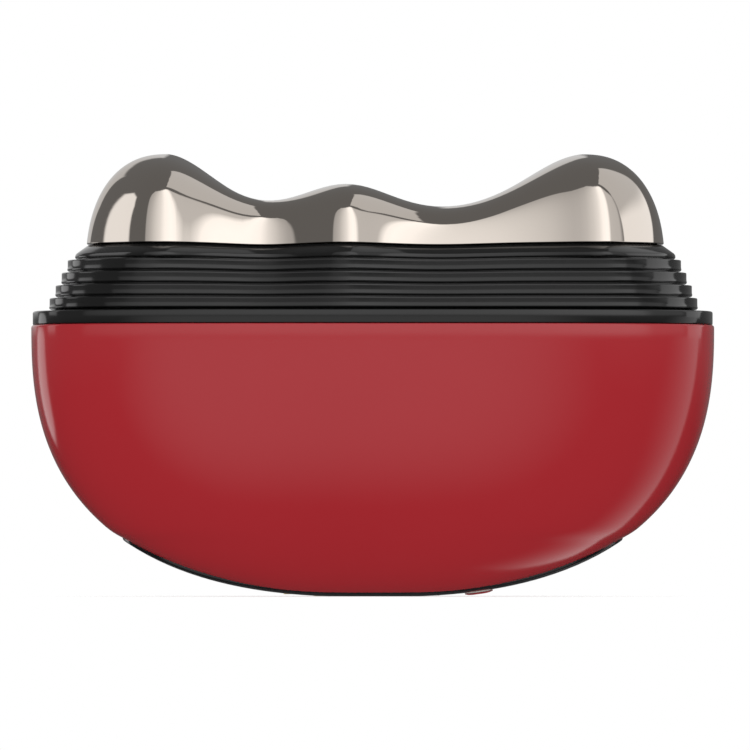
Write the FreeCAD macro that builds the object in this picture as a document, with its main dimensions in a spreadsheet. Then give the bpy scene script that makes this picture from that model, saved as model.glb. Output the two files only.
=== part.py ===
import FreeCAD, Part
import math
import os
from types import SimpleNamespace

import Sketcher
from FreeCAD import Placement, Rotation, Vector

# Palm-held neck massager: a bowl, a ribbed rubber collar and a three-lobed metal head that floats on it.
# Millimetres, +Z up, front towards -Y. The origin is under the middle of the bowl, on the plane it rests on.

# Driving dimensions
SIZES = {
    # Bowl
    "rim_half_width": 45.0,
    "rim_half_depth": 25.0,
    "rim_height": 35.7,
    "shell_wall": 2.0,
    "rest_cut": 0.1,
    "boss_end_setback": 14.0,
    "boss_side_gap": 0.5,
    "boss_radius": 3.0,
    # Bottom panel
    "panel_setback": 12.0,
    "panel_half_width": 7.0,
    "panel_gap": 0.15,
    "panel_wall": 1.6,
    "panel_edge": 2.2,
    "flange_overlap": 2.5,
    "flange_thickness": 1.2,
    "gasket_thickness": 0.3,
    "gasket_gap": 0.05,
    "panel_post_radius": 1.6,
    # Base ring
    "ring_setback": 0.2,
    "ring_height": 1.75,
    "ring_width": 10.0,
    "tongue_depth": 2.2,
    "tongue_wall": 1.2,
    "seat_gap": 0.05,
    "slide_gap": 0.1,
    # Collar
    "collar_height": 9.0,
    "low_rib_setback": 2.05,
    "rib_edge": 0.2,
    "groove_depth": 0.7,
    "collar_wall": 1.2,
    "lip_thickness": 1.2,
    "lip_inset": 3.0,
    "foot_thickness": 0.95,
    "foot_reach": 5.6,
    "clamp_width": 4.0,
    "clamp_height": 1.5,
    "clamp_gap": 1.5,
    # Head
    "head_setback": 6.95,
    "waist_setback": 13.0,
    "head_wall": 1.2,
    "head_root": 3.0,
    "crest_setback": 10.05,
    "saddle_rise": 4.25,
    "left_lobe_setback": 10.25,
    "left_lobe_rise": 7.65,
    "left_lobe_spread": 9.1,
    "middle_lobe_x": 3.65,
    "middle_lobe_rise": 3.6,
    "middle_lobe_spread": 8.1,
    "right_lobe_setback": 10.05,
    "right_lobe_rise": 7.6,
    "right_lobe_spread": 10.8,
    "left_bulge_setback": 8.55,
    "left_bulge": 8.0,
    "left_bulge_spread": 8.5,
    "middle_bulge_x": 3.6,
    "middle_bulge": 5.0,
    "middle_bulge_spread": 5.5,
    "right_bulge_setback": 7.55,
    "right_bulge": 8.0,
    "right_bulge_spread": 9.5,
    "head_boss_setback": 8.05,
    "head_boss_y": 6.0,
    "head_boss_radius": 2.4,
    "film_thickness": 0.3,
    "film_length": 34.0,
    "film_width": 18.0,
    "film_x": 1.0,
    "thermistor_radius": 0.9,
    "thermistor_length": 2.4,
    "thermistor_x": 9.5,
    # Head plate and its guides
    "plate_thickness": 1.7,
    "plate_inset": 1.2,
    "float_travel": 1.2,
    "stop_gap": 1.0,
    "guide_gap": 7.0,
    "guide_boss_radius": 3.5,
    "guide_boss_length": 5.4,
    "guide_clearance": 0.06,
    "shoulder_radius": 1.7,
    "shoulder_head_radius": 3.2,
    "shoulder_head_height": 1.5,
    "shoulder_thread_radius": 1.3,
    "shoulder_thread_length": 8.0,
    # Motor
    "motor_radius": 5.0,
    "motor_length": 20.0,
    "motor_x": 5.0,
    "motor_gap": 0.1,
    "motor_neck_radius": 2.0,
    "motor_neck_length": 0.8,
    "shaft_radius": 0.75,
    "shaft_inside": 12.0,
    "shaft_outside": 7.0,
    "shaft_clearance": 0.05,
    "weight_radius": 4.5,
    "weight_hub_radius": 1.6,
    "weight_length": 5.0,
    "weight_gap": 0.4,
    "bracket_wall": 1.2,
    "bracket_width": 8.0,
    "bracket_foot": 4.2,
    # Chassis
    "chassis_height": 18.0,
    "chassis_thickness": 2.0,
    "chassis_gap": 0.6,
    "post_radius": 3.5,
    "standoff_height": 2.5,
    "standoff_radius": 2.2,
    "lead_slot_x": 5.0,
    "lead_slot_setback": 8.5,
    "lead_slot_length": 10.0,
    "lead_slot_width": 3.4,
    # Electronics
    "pcb_length": 34.0,
    "pcb_setback": 12.0,
    "pcb_thickness": 1.6,
    "pcb_hole_inset": 2.8,
    "chip_length": 7.0,
    "chip_height": 1.0,
    "chip_x": 7.0,
    "chip_y": 3.0,
    "inductor_radius": 3.0,
    "inductor_height": 4.0,
    "inductor_x": 4.0,
    "inductor_inset": 7.0,
    "socket_length": 4.0,
    "battery_socket_x": 2.0,
    "board_socket_x": 8.0,
    "side_socket_inset": 3.5,
    "head_socket_x": 13.0,
    "head_socket_inset": 8.0,
    "socket_width": 3.5,
    "socket_height": 3.2,
    "battery_length": 36.0,
    "battery_width": 18.0,
    "battery_height": 7.0,
    "battery_x": 7.0,
    "battery_round": 1.5,
    "battery_pad_thickness": 0.5,
    "battery_pad_margin": 2.0,
    # Switch board
    "board_length": 36.0,
    "board_width": 8.0,
    "board_thickness": 1.0,
    "board_x": 2.0,
    "board_rise": 5.3,
    "board_hole_inset": 1.9,
    "tact_length": 4.5,
    "tact_height": 1.8,
    "plunger_radius": 1.0,
    "plunger_length": 1.6,
    "plunger_proud": 0.8,
    "plunger_gap": 0.05,
    "button_x": 14.0,
    "button_half_width": 1.85,
    "button_half_length": 3.2,
    "button_ring_wall": 0.45,
    "button_ring_proud": 0.38,
    "button_gap": 0.1,
    "button_cap_recess": 0.12,
    "button_travel": 0.35,
    "button_foot_overhang": 0.5,
    "button_foot_thickness": 0.6,
    "lens_x": 8.0,
    "lens_radius": 0.8,
    "led_length": 1.6,
    "led_width": 0.8,
    "led_height": 0.6,
    "led_gap": 0.2,
    "contact_x": 8.5,
    "contact_pitch": 4.0,
    "contact_radius": 1.25,
    # Fasteners and wires
    "screw_radius": 1.0,
    "screw_head_radius": 1.9,
    "screw_head_height": 1.2,
    "small_screw_radius": 0.7,
    "small_screw_head_radius": 1.25,
    "small_screw_head_height": 0.8,
    "screw_clearance": 0.05,
    "screw_tip_gap": 0.5,
    "chassis_screw_length": 8.0,
    "head_screw_length": 6.0,
    "clamp_screw_bite": 1.4,
    "pcb_screw_length": 4.0,
    "bracket_screw_length": 2.7,
    "board_screw_length": 3.2,
    "lead_radius": 0.4,
    "lead_slack": 2.6,
    # One overrun for every cut
    "overrun": 1.0,
}

# Shape numbers
PLAN_POWER = 3.4
BOWL_POWER = 2.5
HEAD_PLAN_POWER = 3.0
END_POWER = 2.0
FRONT_POWER = 3.3
RIB_COUNT = 5
RIB_STEP_SHARE = 0.16
RIB_THICKNESS_SHARE = 0.58
LOW_RIB_SHARE = 0.25
BOWL_TIP_SHARE = 0.1
RIDGE_EASE_SHARE = 0.85
UPRIGHT_SHARE = 0.9
BEND_SHARE = 0.45
SLACK_SHARES = (0, 0, 1, 1, 0, 0)
PLAN_STEPS = 48
RISE_STEPS = 14

doc = FreeCAD.newDocument("neck_massager")
sheet = doc.addObject("Spreadsheet::Sheet", "Sizes")
for row, (alias, value) in enumerate(SIZES.items(), start=1):
    sheet.set(f"A{row}", alias.replace("_", " "))
    sheet.set(f"B{row}", str(value))
    sheet.setAlias(f"B{row}", alias)
doc.recompute()


class Size:
    """A length of the sheet or a sum of lengths: its expression and its value."""

    def __init__(self, text, value):
        self.text = text
        self.value = value

    def __float__(self):
        return self.value

    def __add__(self, other):
        return Size(f"({self.text} + {as_size(other).text})", self.value + float(other))

    def __sub__(self, other):
        return Size(f"({self.text} - {as_size(other).text})", self.value - float(other))

    def __mul__(self, factor):
        return Size(f"({self.text} * {factor})", self.value * factor)

    def __truediv__(self, divisor):
        return Size(f"({self.text} / {divisor})", self.value / divisor)

    def __neg__(self):
        return self * -1


def as_size(value):
    return value if isinstance(value, Size) else Size(repr(float(value)), float(value))


s = SimpleNamespace(**{alias: Size(f"Sizes.{alias}", float(sheet.get(alias))) for alias in SIZES})
d = SimpleNamespace(**{alias: float(sheet.get(alias)) for alias in SIZES})
ZERO = as_size(0)
nodes = []


def derive(alias, size):
    """Name a size that follows others."""
    setattr(s, alias, size)
    setattr(d, alias, size.value)


def panel_height(x):
    """Height of the bowl's lower face on its long middle line, as an expression of the sheet."""
    share = f"(1 - ({x.text} / {s.rim_half_width.text}) ^ {BOWL_POWER}) ^ (1 / {BOWL_POWER})"
    text = f"({s.rim_height.text} - ({s.rim_height.text} + {s.rest_cut.text}) * {share})"
    return Size(text, panel_z(x.value))


def panel_z(x):
    """The same height as a number."""
    share = abs(x) / d.rim_half_width
    return d.rim_height - (d.rim_height + d.rest_cut) * (1 - share ** BOWL_POWER) ** (1 / BOWL_POWER)


# Sizes that follow others
derive("boss_x", s.rim_half_width - s.boss_end_setback)
derive("boss_y", s.panel_half_width + s.flange_overlap + s.boss_side_gap + s.boss_radius)
derive("panel_half_length", s.rim_half_width - s.panel_setback)
derive("ring_half_width", s.rim_half_width - s.ring_setback)
derive("ring_half_depth", s.rim_half_depth - s.ring_setback)
derive("head_half_width", s.rim_half_width - s.head_setback)
derive("waist_half_depth", s.rim_half_depth - s.waist_setback)
derive("crest_half_length", s.head_half_width - s.crest_setback)
derive("left_lobe_x", s.head_half_width - s.left_lobe_setback)
derive("right_lobe_x", s.head_half_width - s.right_lobe_setback)
derive("left_bulge_x", s.head_half_width - s.left_bulge_setback)
derive("right_bulge_x", s.head_half_width - s.right_bulge_setback)
derive("head_boss_x", s.head_half_width - s.head_boss_setback)
derive("low_rib_half_width", s.ring_half_width - s.low_rib_setback)
derive("rib_step", (s.low_rib_half_width - s.head_half_width) * RIB_STEP_SHARE)
derive("rib_pitch", s.collar_height / RIB_COUNT)
derive("rib_thickness", s.rib_pitch * RIB_THICKNESS_SHARE)
derive("low_rib_rise", s.rib_pitch * LOW_RIB_SHARE)
derive("guide_x", s.motor_length - s.motor_x + s.guide_gap)
derive("pcb_width", (s.rim_half_depth - s.pcb_setback) * 2)
derive("side_socket_y", s.pcb_width / 2 - s.side_socket_inset)
derive("inductor_y", s.pcb_width / 2 - s.inductor_inset)
derive("head_socket_y", s.pcb_width / 2 - s.head_socket_inset)
derive("lead_slot_y", s.rim_half_depth - s.lead_slot_setback)
derive("board_height", panel_height(s.button_x) + s.board_rise)


def node(obj, label):
    """Name a finished sub-part; its label names its file."""
    obj.Label = label
    nodes.append(obj)
    return obj


def place(obj, x, y, z):
    for axis, value in zip("xyz", (x, y, z)):
        obj.setExpression(f"Placement.Base.{axis}", as_size(value).text)


def block(name, length, width, height, x, y, z):
    """A box centred on x and y that stands on z."""
    box = doc.addObject("Part::Box", name)
    box.setExpression("Length", length.text)
    box.setExpression("Width", width.text)
    box.setExpression("Height", height.text)
    place(box, x - length / 2, y - width / 2, z)
    return box


def cylinder(name, radius, height, x, y, z, axis="z"):
    """A cylinder that starts at (x, y, z) and runs along +Z or +X."""
    rod = doc.addObject("Part::Cylinder", name)
    rod.setExpression("Radius", radius.text)
    rod.setExpression("Height", height.text)
    if axis == "x":
        rod.Placement = Placement(Vector(), Rotation(Vector(0, 1, 0), 90))
    place(rod, x, y, z)
    return rod


def join(name, *pieces):
    union = doc.addObject("Part::MultiFuse", name)
    union.Shapes = list(pieces)
    return union


def cut(name, base, *tools):
    result = doc.addObject("Part::Cut", name)
    result.Base = base
    result.Tool = tools[0] if len(tools) == 1 else join(name + "_tools", *tools)
    return result


def feature(name, shape):
    """A free-form sub-part or blank, set from code."""
    obj = doc.addObject("Part::Feature", name)
    obj.Shape = shape
    return obj


def origin_plane(body, role):
    return next(plane for plane in body.Origin.OriginFeatures if plane.Role == role)


def sketch_on(body, role, name):
    sketch = body.newObject("Sketcher::SketchObject", name)
    sketch.AttachmentSupport = [(origin_plane(body, role), "")]
    sketch.MapMode = "FlatFace"
    return sketch


def pin_point(sketch, geometry, end, x, y):
    """Hold one point of the sketch at (x, y), both bound to the sheet."""
    for kind, value in (("DistanceX", x), ("DistanceY", y)):
        index = sketch.addConstraint(Sketcher.Constraint(kind, -1, 1, geometry, end, float(value)))
        sketch.setExpression(f"Constraints[{index}]", value.text)


def polygon(sketch, corners):
    """A closed outline with every corner bound to the sheet."""
    points = [Vector(float(x), float(y), 0) for x, y in corners]
    for index, start in enumerate(points):
        sketch.addGeometry(Part.LineSegment(start, points[(index + 1) % len(points)]), False)
    for index, (x, y) in enumerate(corners):
        before = (index - 1) % len(corners)
        sketch.addConstraint(Sketcher.Constraint("Coincident", before, 2, index, 1))
        pin_point(sketch, index, 1, x, y)


def turned_body(name, profile):
    """A turned piece: a profile of (radius, height) corners swung about the body's Z axis."""
    body = doc.addObject("PartDesign::Body", name)
    sketch = sketch_on(body, "XZ_Plane", name + "_profile")
    polygon(sketch, profile)
    turn = body.newObject("PartDesign::Revolution", name + "_turn")
    turn.Profile = sketch
    turn.ReferenceAxis = (sketch, ["V_Axis"])
    doc.recompute()
    return body


def screw(name, radius, head_radius, head_height, length):
    """A screw with its seat at height zero, shank down and head up."""
    return turned_body(name, [
        (ZERO, -length),
        (radius, -length),
        (radius, ZERO),
        (head_radius, ZERO),
        (head_radius, head_height),
        (ZERO, head_height),
    ])


def copies(label, body, places, height, upside_down=False):
    """One node of identical solids, each seated at its place."""
    turn = Rotation(Vector(1, 0, 0), 180 if upside_down else 0)
    solids = []
    for x, y in places:
        solid = body.Shape.copy()
        solid.Placement = Placement(Vector(float(x), float(y), float(height)), turn)
        solids.append(solid)
    return node(feature(label, Part.makeCompound(solids)), label)


def corners(x, y):
    return [(x, y), (-x, y), (x, -y), (-x, -y)]


# Heights
ring_bottom = s.rim_height + s.seat_gap
ring_top = ring_bottom + s.ring_height
head_base = ring_top + s.collar_height
collar_bottom = ring_top + s.seat_gap
collar_top = head_base - s.seat_gap
plate_top = collar_top - s.lip_thickness - s.seat_gap
plate_bottom = plate_top - s.plate_thickness
chassis_top = s.chassis_height + s.chassis_thickness
pcb_bottom = chassis_top + s.standoff_height
pcb_top = pcb_bottom + s.pcb_thickness
board_top = s.board_height + s.board_thickness


# Plan curves
def front_angles():
    """Angles of the front half of a plan, from its left end to its right end."""
    return [math.pi * (1 + step / PLAN_STEPS) for step in range(PLAN_STEPS + 1)]


def all_angles():
    return [math.pi * step / PLAN_STEPS for step in range(2 * PLAN_STEPS)]


def rounded_point(angle, half_width, half_depth, power):
    """A point of a rounded rectangle, on the ray of an ellipse's angle."""
    across = math.cos(angle)
    along = math.sin(angle)
    reach = (abs(across) ** power + abs(along) ** power) ** (1 / power)
    return half_width * across / reach, half_depth * along / reach


def rise_angle(share, power):
    """The ray angle at which a rounded outline has climbed this share of its height."""
    return math.atan((share ** power / (1 - share ** power)) ** (1 / power))


def bell(x, middle, spread):
    return math.exp(-((x - middle) / spread) ** 2)


def head_point(angle, inset=0.0):
    """The head's plan: a rounded rectangle with a bulge at each lobe."""
    x, y_share = rounded_point(angle, d.head_half_width - inset, 1, HEAD_PLAN_POWER)
    depth = (
        d.waist_half_depth
        + d.left_bulge * bell(x, -d.left_bulge_x, d.left_bulge_spread)
        + d.middle_bulge * bell(x, -d.middle_bulge_x, d.middle_bulge_spread)
        + d.right_bulge * bell(x, d.right_bulge_x, d.right_bulge_spread)
    )
    return x, (depth - inset) * y_share


def ring_point(angle, inset=0.0):
    return rounded_point(angle, d.ring_half_width - inset, d.ring_half_depth - inset, PLAN_POWER)


def bowl_point(angle, inset=0.0):
    return rounded_point(angle, d.rim_half_width - inset, d.rim_half_depth - inset, PLAN_POWER)


def collar_point(angle, half_width, inset=0.0):
    """A plan between the head's and the base ring's, chosen by its half width."""
    share = (half_width - d.head_half_width) / (d.ring_half_width - d.head_half_width)
    head = head_point(angle, inset)
    ring = ring_point(angle, inset)
    return tuple(a * (1 - share) + b * share for a, b in zip(head, ring))


def plan_wire(point, z):
    """A closed smooth wire at height z through a plan's points."""
    curve = Part.BSplineCurve()
    curve.interpolate(Points=[Vector(*point(angle), z) for angle in all_angles()], PeriodicFlag=True)
    return Part.Wire(curve.toShape())


def plan_prism(point, low, high):
    return Part.Face(plan_wire(point, low)).extrude(Vector(0, 0, high - low))


def slot_prism(half_x, half_y, low, high, x=0.0):
    """An upright prism with round ends along its longer side, centred on x."""
    radius = min(half_x, half_y)
    straight = Vector(half_x - radius, half_y - radius, 0)
    middle = Vector(x, 0, low)
    side = Vector(0, radius, 0) if half_x > half_y else Vector(radius, 0, 0)
    tip = Vector(half_x, 0, 0) if half_x > half_y else Vector(0, half_y, 0)
    ends = [
        (middle + straight + side, middle + tip, middle + straight - side),
        (middle - straight - side, middle - tip, middle - straight + side),
    ]
    edges = []
    for index, (start, top, stop) in enumerate(ends):
        edges.append(Part.Arc(start, top, stop).toShape())
        edges.append(Part.LineSegment(stop, ends[1 - index][0]).toShape())
    return Part.Face(Part.Wire(edges)).extrude(Vector(0, 0, high - low))


def smooth_curve(points):
    """A smooth curve through points that are evenly spaced in its parameter."""
    curve = Part.BSplineCurve()
    steps = len(points) - 1
    curve.interpolate(Points=points, Parameters=[index / steps for index in range(len(points))])
    return curve


def smooth_surface(rows):
    """A smooth surface through rows of points: along each row first, then across the rows."""
    along = [smooth_curve(row) for row in rows]
    across = [smooth_curve(list(poles)) for poles in zip(*(curve.getPoles() for curve in along))]
    surface = Part.BSplineSurface()
    surface.buildFromPolesMultsKnots(
        [curve.getPoles() for curve in across],
        along[0].getMultiplicities(),
        across[0].getMultiplicities(),
        along[0].getKnots(),
        across[0].getKnots(),
        False,
        False,
        along[0].Degree,
        across[0].Degree,
    )
    return surface


def mirrored_solid(rows, capped_rows):
    """A solid that is the same front and back: a smooth front face through rows of points, and its mirror."""
    surface = smooth_surface(rows)
    front = surface.toShape()
    faces = [front, front.mirror(Vector(), Vector(0, 1, 0))]
    first, last = surface.bounds()[2:]
    for at in [(first, last)[row] for row in capped_rows]:
        edge = surface.vIso(at).toShape()
        faces.append(Part.Face(Part.Wire([edge, edge.mirror(Vector(), Vector(0, 1, 0))])))
    shell = Part.makeShell(faces)
    shell.sewShape()
    solid = Part.makeSolid(shell)
    if solid.Volume < 0:
        solid.reverse()
    return solid


# Bowl
def bowl_solid(inset):
    """The bowl as a full solid, set in from its outer face; a negative inset lies outside it."""
    depth = d.rim_height + d.rest_cut - inset
    last = math.pi / 2 - rise_angle(BOWL_TIP_SHARE, BOWL_POWER)
    rows = []
    for step in range(RISE_STEPS + 1):
        share, drop = rounded_point(last * step / RISE_STEPS, 1, depth, BOWL_POWER)
        points = [bowl_point(angle, inset) for angle in front_angles()]
        rows.append([Vector(x * share, y * share, d.rim_height - drop) for x, y in points])
    return mirrored_solid(rows, (0, -1))


def bowl_plan_share(z, inset):
    """How much of its rim plan the bowl still has at height z."""
    depth = d.rim_height + d.rest_cut - inset
    return (1 - ((d.rim_height - z) / depth) ** BOWL_POWER) ** (1 / BOWL_POWER)


def round_post(radius, low, high, x, y):
    return Part.makeCylinder(float(radius), float(high) - float(low), Vector(float(x), float(y), float(low)))


bowl_outside = bowl_solid(0.0)
bowl_inside = bowl_solid(d.shell_wall)
flange_inset = d.shell_wall + d.gasket_thickness + d.flange_thickness
flange_half_length = d.panel_half_length + d.flange_overlap
flange_half_width = d.panel_half_width + d.flange_overlap
below = -d.overrun
screw_hole = s.screw_radius + s.screw_clearance
small_screw_hole = s.small_screw_radius + s.screw_clearance
case_places = corners(s.boss_x, s.boss_y)


def make_outer_shell():
    """Bowl with four screw bosses inside and a long opening in its bottom."""
    cavity = bowl_inside
    for x, y in case_places:
        cavity = cavity.cut(round_post(d.boss_radius, below, d.chassis_height, x, y))
    shell = bowl_outside.cut(cavity)
    opening_length = d.panel_half_length + d.panel_gap
    opening_width = d.panel_half_width + d.panel_gap
    shell = shell.cut(slot_prism(opening_length, opening_width, below, d.rim_height))
    hole_bottom = d.chassis_height - d.chassis_screw_length - d.screw_tip_gap + d.chassis_thickness
    for x, y in case_places:
        shell = shell.cut(round_post(screw_hole, hole_bottom, d.rim_height, x, y))
    return node(feature("outer_shell", shell), "outer_shell")


def make_bottom_panel():
    """Curved panel in the bowl's opening: a tray with a flange inside the bowl and two posts for a board."""
    top = d.rim_height
    tray = bowl_outside.cut(bowl_solid(flange_inset))
    tray = tray.common(slot_prism(flange_half_length, flange_half_width, below, top))
    rebate = slot_prism(flange_half_length + d.overrun, flange_half_width + d.overrun, below, top)
    rebate = rebate.cut(slot_prism(d.panel_half_length, d.panel_half_width, below, top))
    rebate = rebate.cut(bowl_solid(d.shell_wall + d.gasket_thickness))
    tray = tray.cut(rebate)
    pocket = slot_prism(d.panel_half_length - d.panel_edge, d.panel_half_width - d.panel_edge, below, top)
    tray = tray.cut(pocket.common(bowl_solid(d.panel_wall)))
    for x in board_hole_places():
        post_low = panel_z(float(x)) + d.panel_wall / 2
        tray = tray.fuse(round_post(d.panel_post_radius, post_low, d.board_height, x, 0))
    for x in board_hole_places():
        hole_bottom = board_top - s.board_screw_length - s.screw_tip_gap
        tray = tray.cut(round_post(small_screw_hole, hole_bottom, top, x, 0))
    for x in contact_places():
        tray = tray.cut(round_post(d.contact_radius + d.seat_gap, below, top, x, 0))
    tray = tray.cut(round_post(d.lens_radius + d.seat_gap, below, top, d.lens_x, 0))
    hole_width = d.button_half_width + d.seat_gap
    hole_length = d.button_half_length + d.seat_gap
    tray = tray.cut(slot_prism(hole_width, hole_length, below, top, d.button_x))
    floor = slot_prism(flange_half_length, flange_half_width, below, 0)
    return node(feature("bottom_panel", tray.cut(floor)), "bottom_panel")


def board_hole_places():
    reach = s.board_length / 2 - s.board_hole_inset
    return [s.board_x - reach, s.board_x + reach]


def contact_places():
    return [-d.contact_x - d.contact_pitch / 2, -d.contact_x + d.contact_pitch / 2]


def make_panel_gasket():
    """Thin bonded seal between the panel's flange and the inside of the bowl."""
    outer = d.shell_wall + d.gasket_gap
    inner = d.shell_wall + d.gasket_thickness - d.gasket_gap
    layer = bowl_solid(outer).cut(bowl_solid(inner))
    margin = d.panel_gap * 2
    ring = slot_prism(flange_half_length - margin, flange_half_width - margin, below, d.rim_height)
    hole = slot_prism(d.panel_half_length + margin, d.panel_half_width + margin, below, d.rim_height)
    return node(feature("panel_gasket", layer.common(ring.cut(hole))), "panel_gasket")


# Button
def make_button():
    """Raised ring fixed in the panel, and the cap that travels inside it."""
    ring_top_z = panel_z(d.button_x) + d.panel_wall
    outside = slot_prism(d.button_half_width, d.button_half_length, below, ring_top_z, d.button_x)
    bore_width = d.button_half_width - d.button_ring_wall
    bore_length = d.button_half_length - d.button_ring_wall
    ring = outside.cut(slot_prism(bore_width, bore_length, below, ring_top_z + d.overrun, d.button_x))
    ring = ring.common(bowl_solid(-d.button_ring_proud))
    node(feature("button_ring", ring), "button_ring")
    foot_low = ring_top_z + d.button_gap
    foot_high = foot_low + d.button_foot_thickness
    cap_width = bore_width - d.button_gap
    cap_length = bore_length - d.button_gap
    cap = slot_prism(cap_width, cap_length, below, foot_high, d.button_x)
    cap = cap.common(bowl_solid(d.button_cap_recess - d.button_ring_proud))
    foot_width = cap_width + d.button_foot_overhang
    foot_length = cap_length + d.button_foot_overhang
    foot = slot_prism(foot_width, foot_length, foot_low, foot_high, d.button_x)
    stem_high = plunger_low.value - d.plunger_gap
    stem = round_post(d.plunger_radius, foot_low, stem_high, d.button_x, 0)
    node(feature("button_cap", cap.fuse(foot).fuse(stem)), "button_cap")


tact_low = s.board_height - s.tact_height
plunger_low = tact_low - s.plunger_proud


def make_switch_board():
    """Small board over the panel with the switch, the charge light and the two charging pins."""
    reach_x, reach_y = s.board_length / 2, s.board_width / 2
    body = doc.addObject("PartDesign::Body", "board_body")
    outline = sketch_on(body, "XY_Plane", "board_outline")
    polygon(outline, [
        (s.board_x - reach_x, -reach_y),
        (s.board_x + reach_x, -reach_y),
        (s.board_x + reach_x, reach_y),
        (s.board_x - reach_x, reach_y),
    ])
    pad = body.newObject("PartDesign::Pad", "board_pad")
    pad.Profile = outline
    pad.setExpression("Length", s.board_thickness.text)
    drilled(body, "board", small_screw_hole, [(x, ZERO) for x in board_hole_places()])
    place(body, ZERO, ZERO, s.board_height)
    node(body, "switch_board")
    small = (s.small_screw_radius, s.small_screw_head_radius, s.small_screw_head_height)
    board_screw = screw("board_screw", *small, s.board_screw_length)
    copies("board_screws", board_screw, [(x, ZERO) for x in board_hole_places()], board_top)

    blank = block("tact_blank", s.tact_length, s.tact_length, s.tact_height, s.button_x, ZERO, tact_low)
    bore_radius = s.plunger_radius + s.plunger_gap
    bore_depth = s.plunger_length - s.plunger_proud + s.button_travel + s.plunger_gap
    bore = cylinder("tact_bore", bore_radius, bore_depth + s.overrun, s.button_x, ZERO, tact_low - s.overrun)
    node(cut("tact_cut", blank, bore), "tact_switch")
    plunger = cylinder("plunger_rod", s.plunger_radius, s.plunger_length, s.button_x, ZERO, plunger_low)
    node(plunger, "switch_plunger")

    led_low = s.board_height - s.led_height
    led = block("led_block", s.led_length, s.led_width, s.led_height, s.lens_x, ZERO, led_low)
    node(led, "indicator_led")
    lens_low = panel_z(d.lens_x)
    lens_high = d.board_height - d.led_height - d.led_gap
    node(feature("lens", round_post(d.lens_radius, lens_low, lens_high, d.lens_x, 0)), "indicator_lens")
    pins = [round_post(d.contact_radius, panel_z(x), d.board_height, x, 0) for x in contact_places()]
    node(feature("pins", Part.makeCompound(pins)), "charging_contacts")


def drilled(body, name, radius, places):
    """Round holes through a padded plate, all of one radius bound to the sheet."""
    sketch = sketch_on(body, "XY_Plane", name + "_holes")
    for index, (x, y) in enumerate(places):
        sketch.addGeometry(Part.Circle(Vector(float(x), float(y), 0), Vector(0, 0, 1), float(radius)), False)
        pin_point(sketch, index, 3, as_size(x), as_size(y))
        size = sketch.addConstraint(Sketcher.Constraint("Radius", index, float(radius)))
        sketch.setExpression(f"Constraints[{size}]", radius.text)
    doc.recompute()
    pocket = body.newObject("PartDesign::Pocket", name + "_pocket")
    pocket.Profile = sketch
    pocket.Type = "ThroughAll"
    pocket.Reversed = True
    solid_volume = body.Shape.Volume
    doc.recompute()
    if body.Shape.Volume >= solid_volume:
        raise RuntimeError(name + ": the holes cut nothing")


# Base ring and collar
def make_base_ring():
    """Ring on the rim of the bowl with a tongue inside it and a ledge that carries the collar."""
    ring = plan_prism(ring_point, ring_bottom.value, ring_top.value)
    tongue_inset = d.shell_wall + d.slide_gap
    tongue_low = d.rim_height - d.tongue_depth
    tongue_high = ring_bottom.value + d.ring_height / 2

    def tongue_point(angle):
        return bowl_point(angle, tongue_inset)

    def tongue_bore_point(angle):
        return bowl_point(angle, tongue_inset + d.tongue_wall)

    tongue = plan_prism(tongue_point, tongue_low, tongue_high)
    tongue = tongue.cut(plan_prism(tongue_bore_point, tongue_low - d.overrun, tongue_high + d.overrun))

    def opening_point(angle):
        return ring_point(angle, d.ring_width)

    ring = ring.cut(plan_prism(opening_point, ring_bottom.value - d.overrun, ring_top.value + d.overrun))
    ring = ring.fuse(tongue)
    for x, y in clamp_places():
        ring = ring.cut(round_post(screw_hole, ring_bottom - s.overrun, ring_top + s.overrun, x, y))
    return node(feature("base_ring", ring), "base_ring")


def rib_half_width(rib):
    return d.low_rib_half_width - rib * d.rib_step


def collar_bore_point(angle, half_width):
    return collar_point(angle, half_width - d.groove_depth, d.collar_wall)


def clamp_point(angle, inset):
    return collar_point(angle, rib_half_width(0) - d.groove_depth, d.collar_wall + d.clamp_gap + inset)


def clamp_places():
    return [clamp_point(math.pi * quarter / 2, d.clamp_width / 2) for quarter in range(4)]


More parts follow.
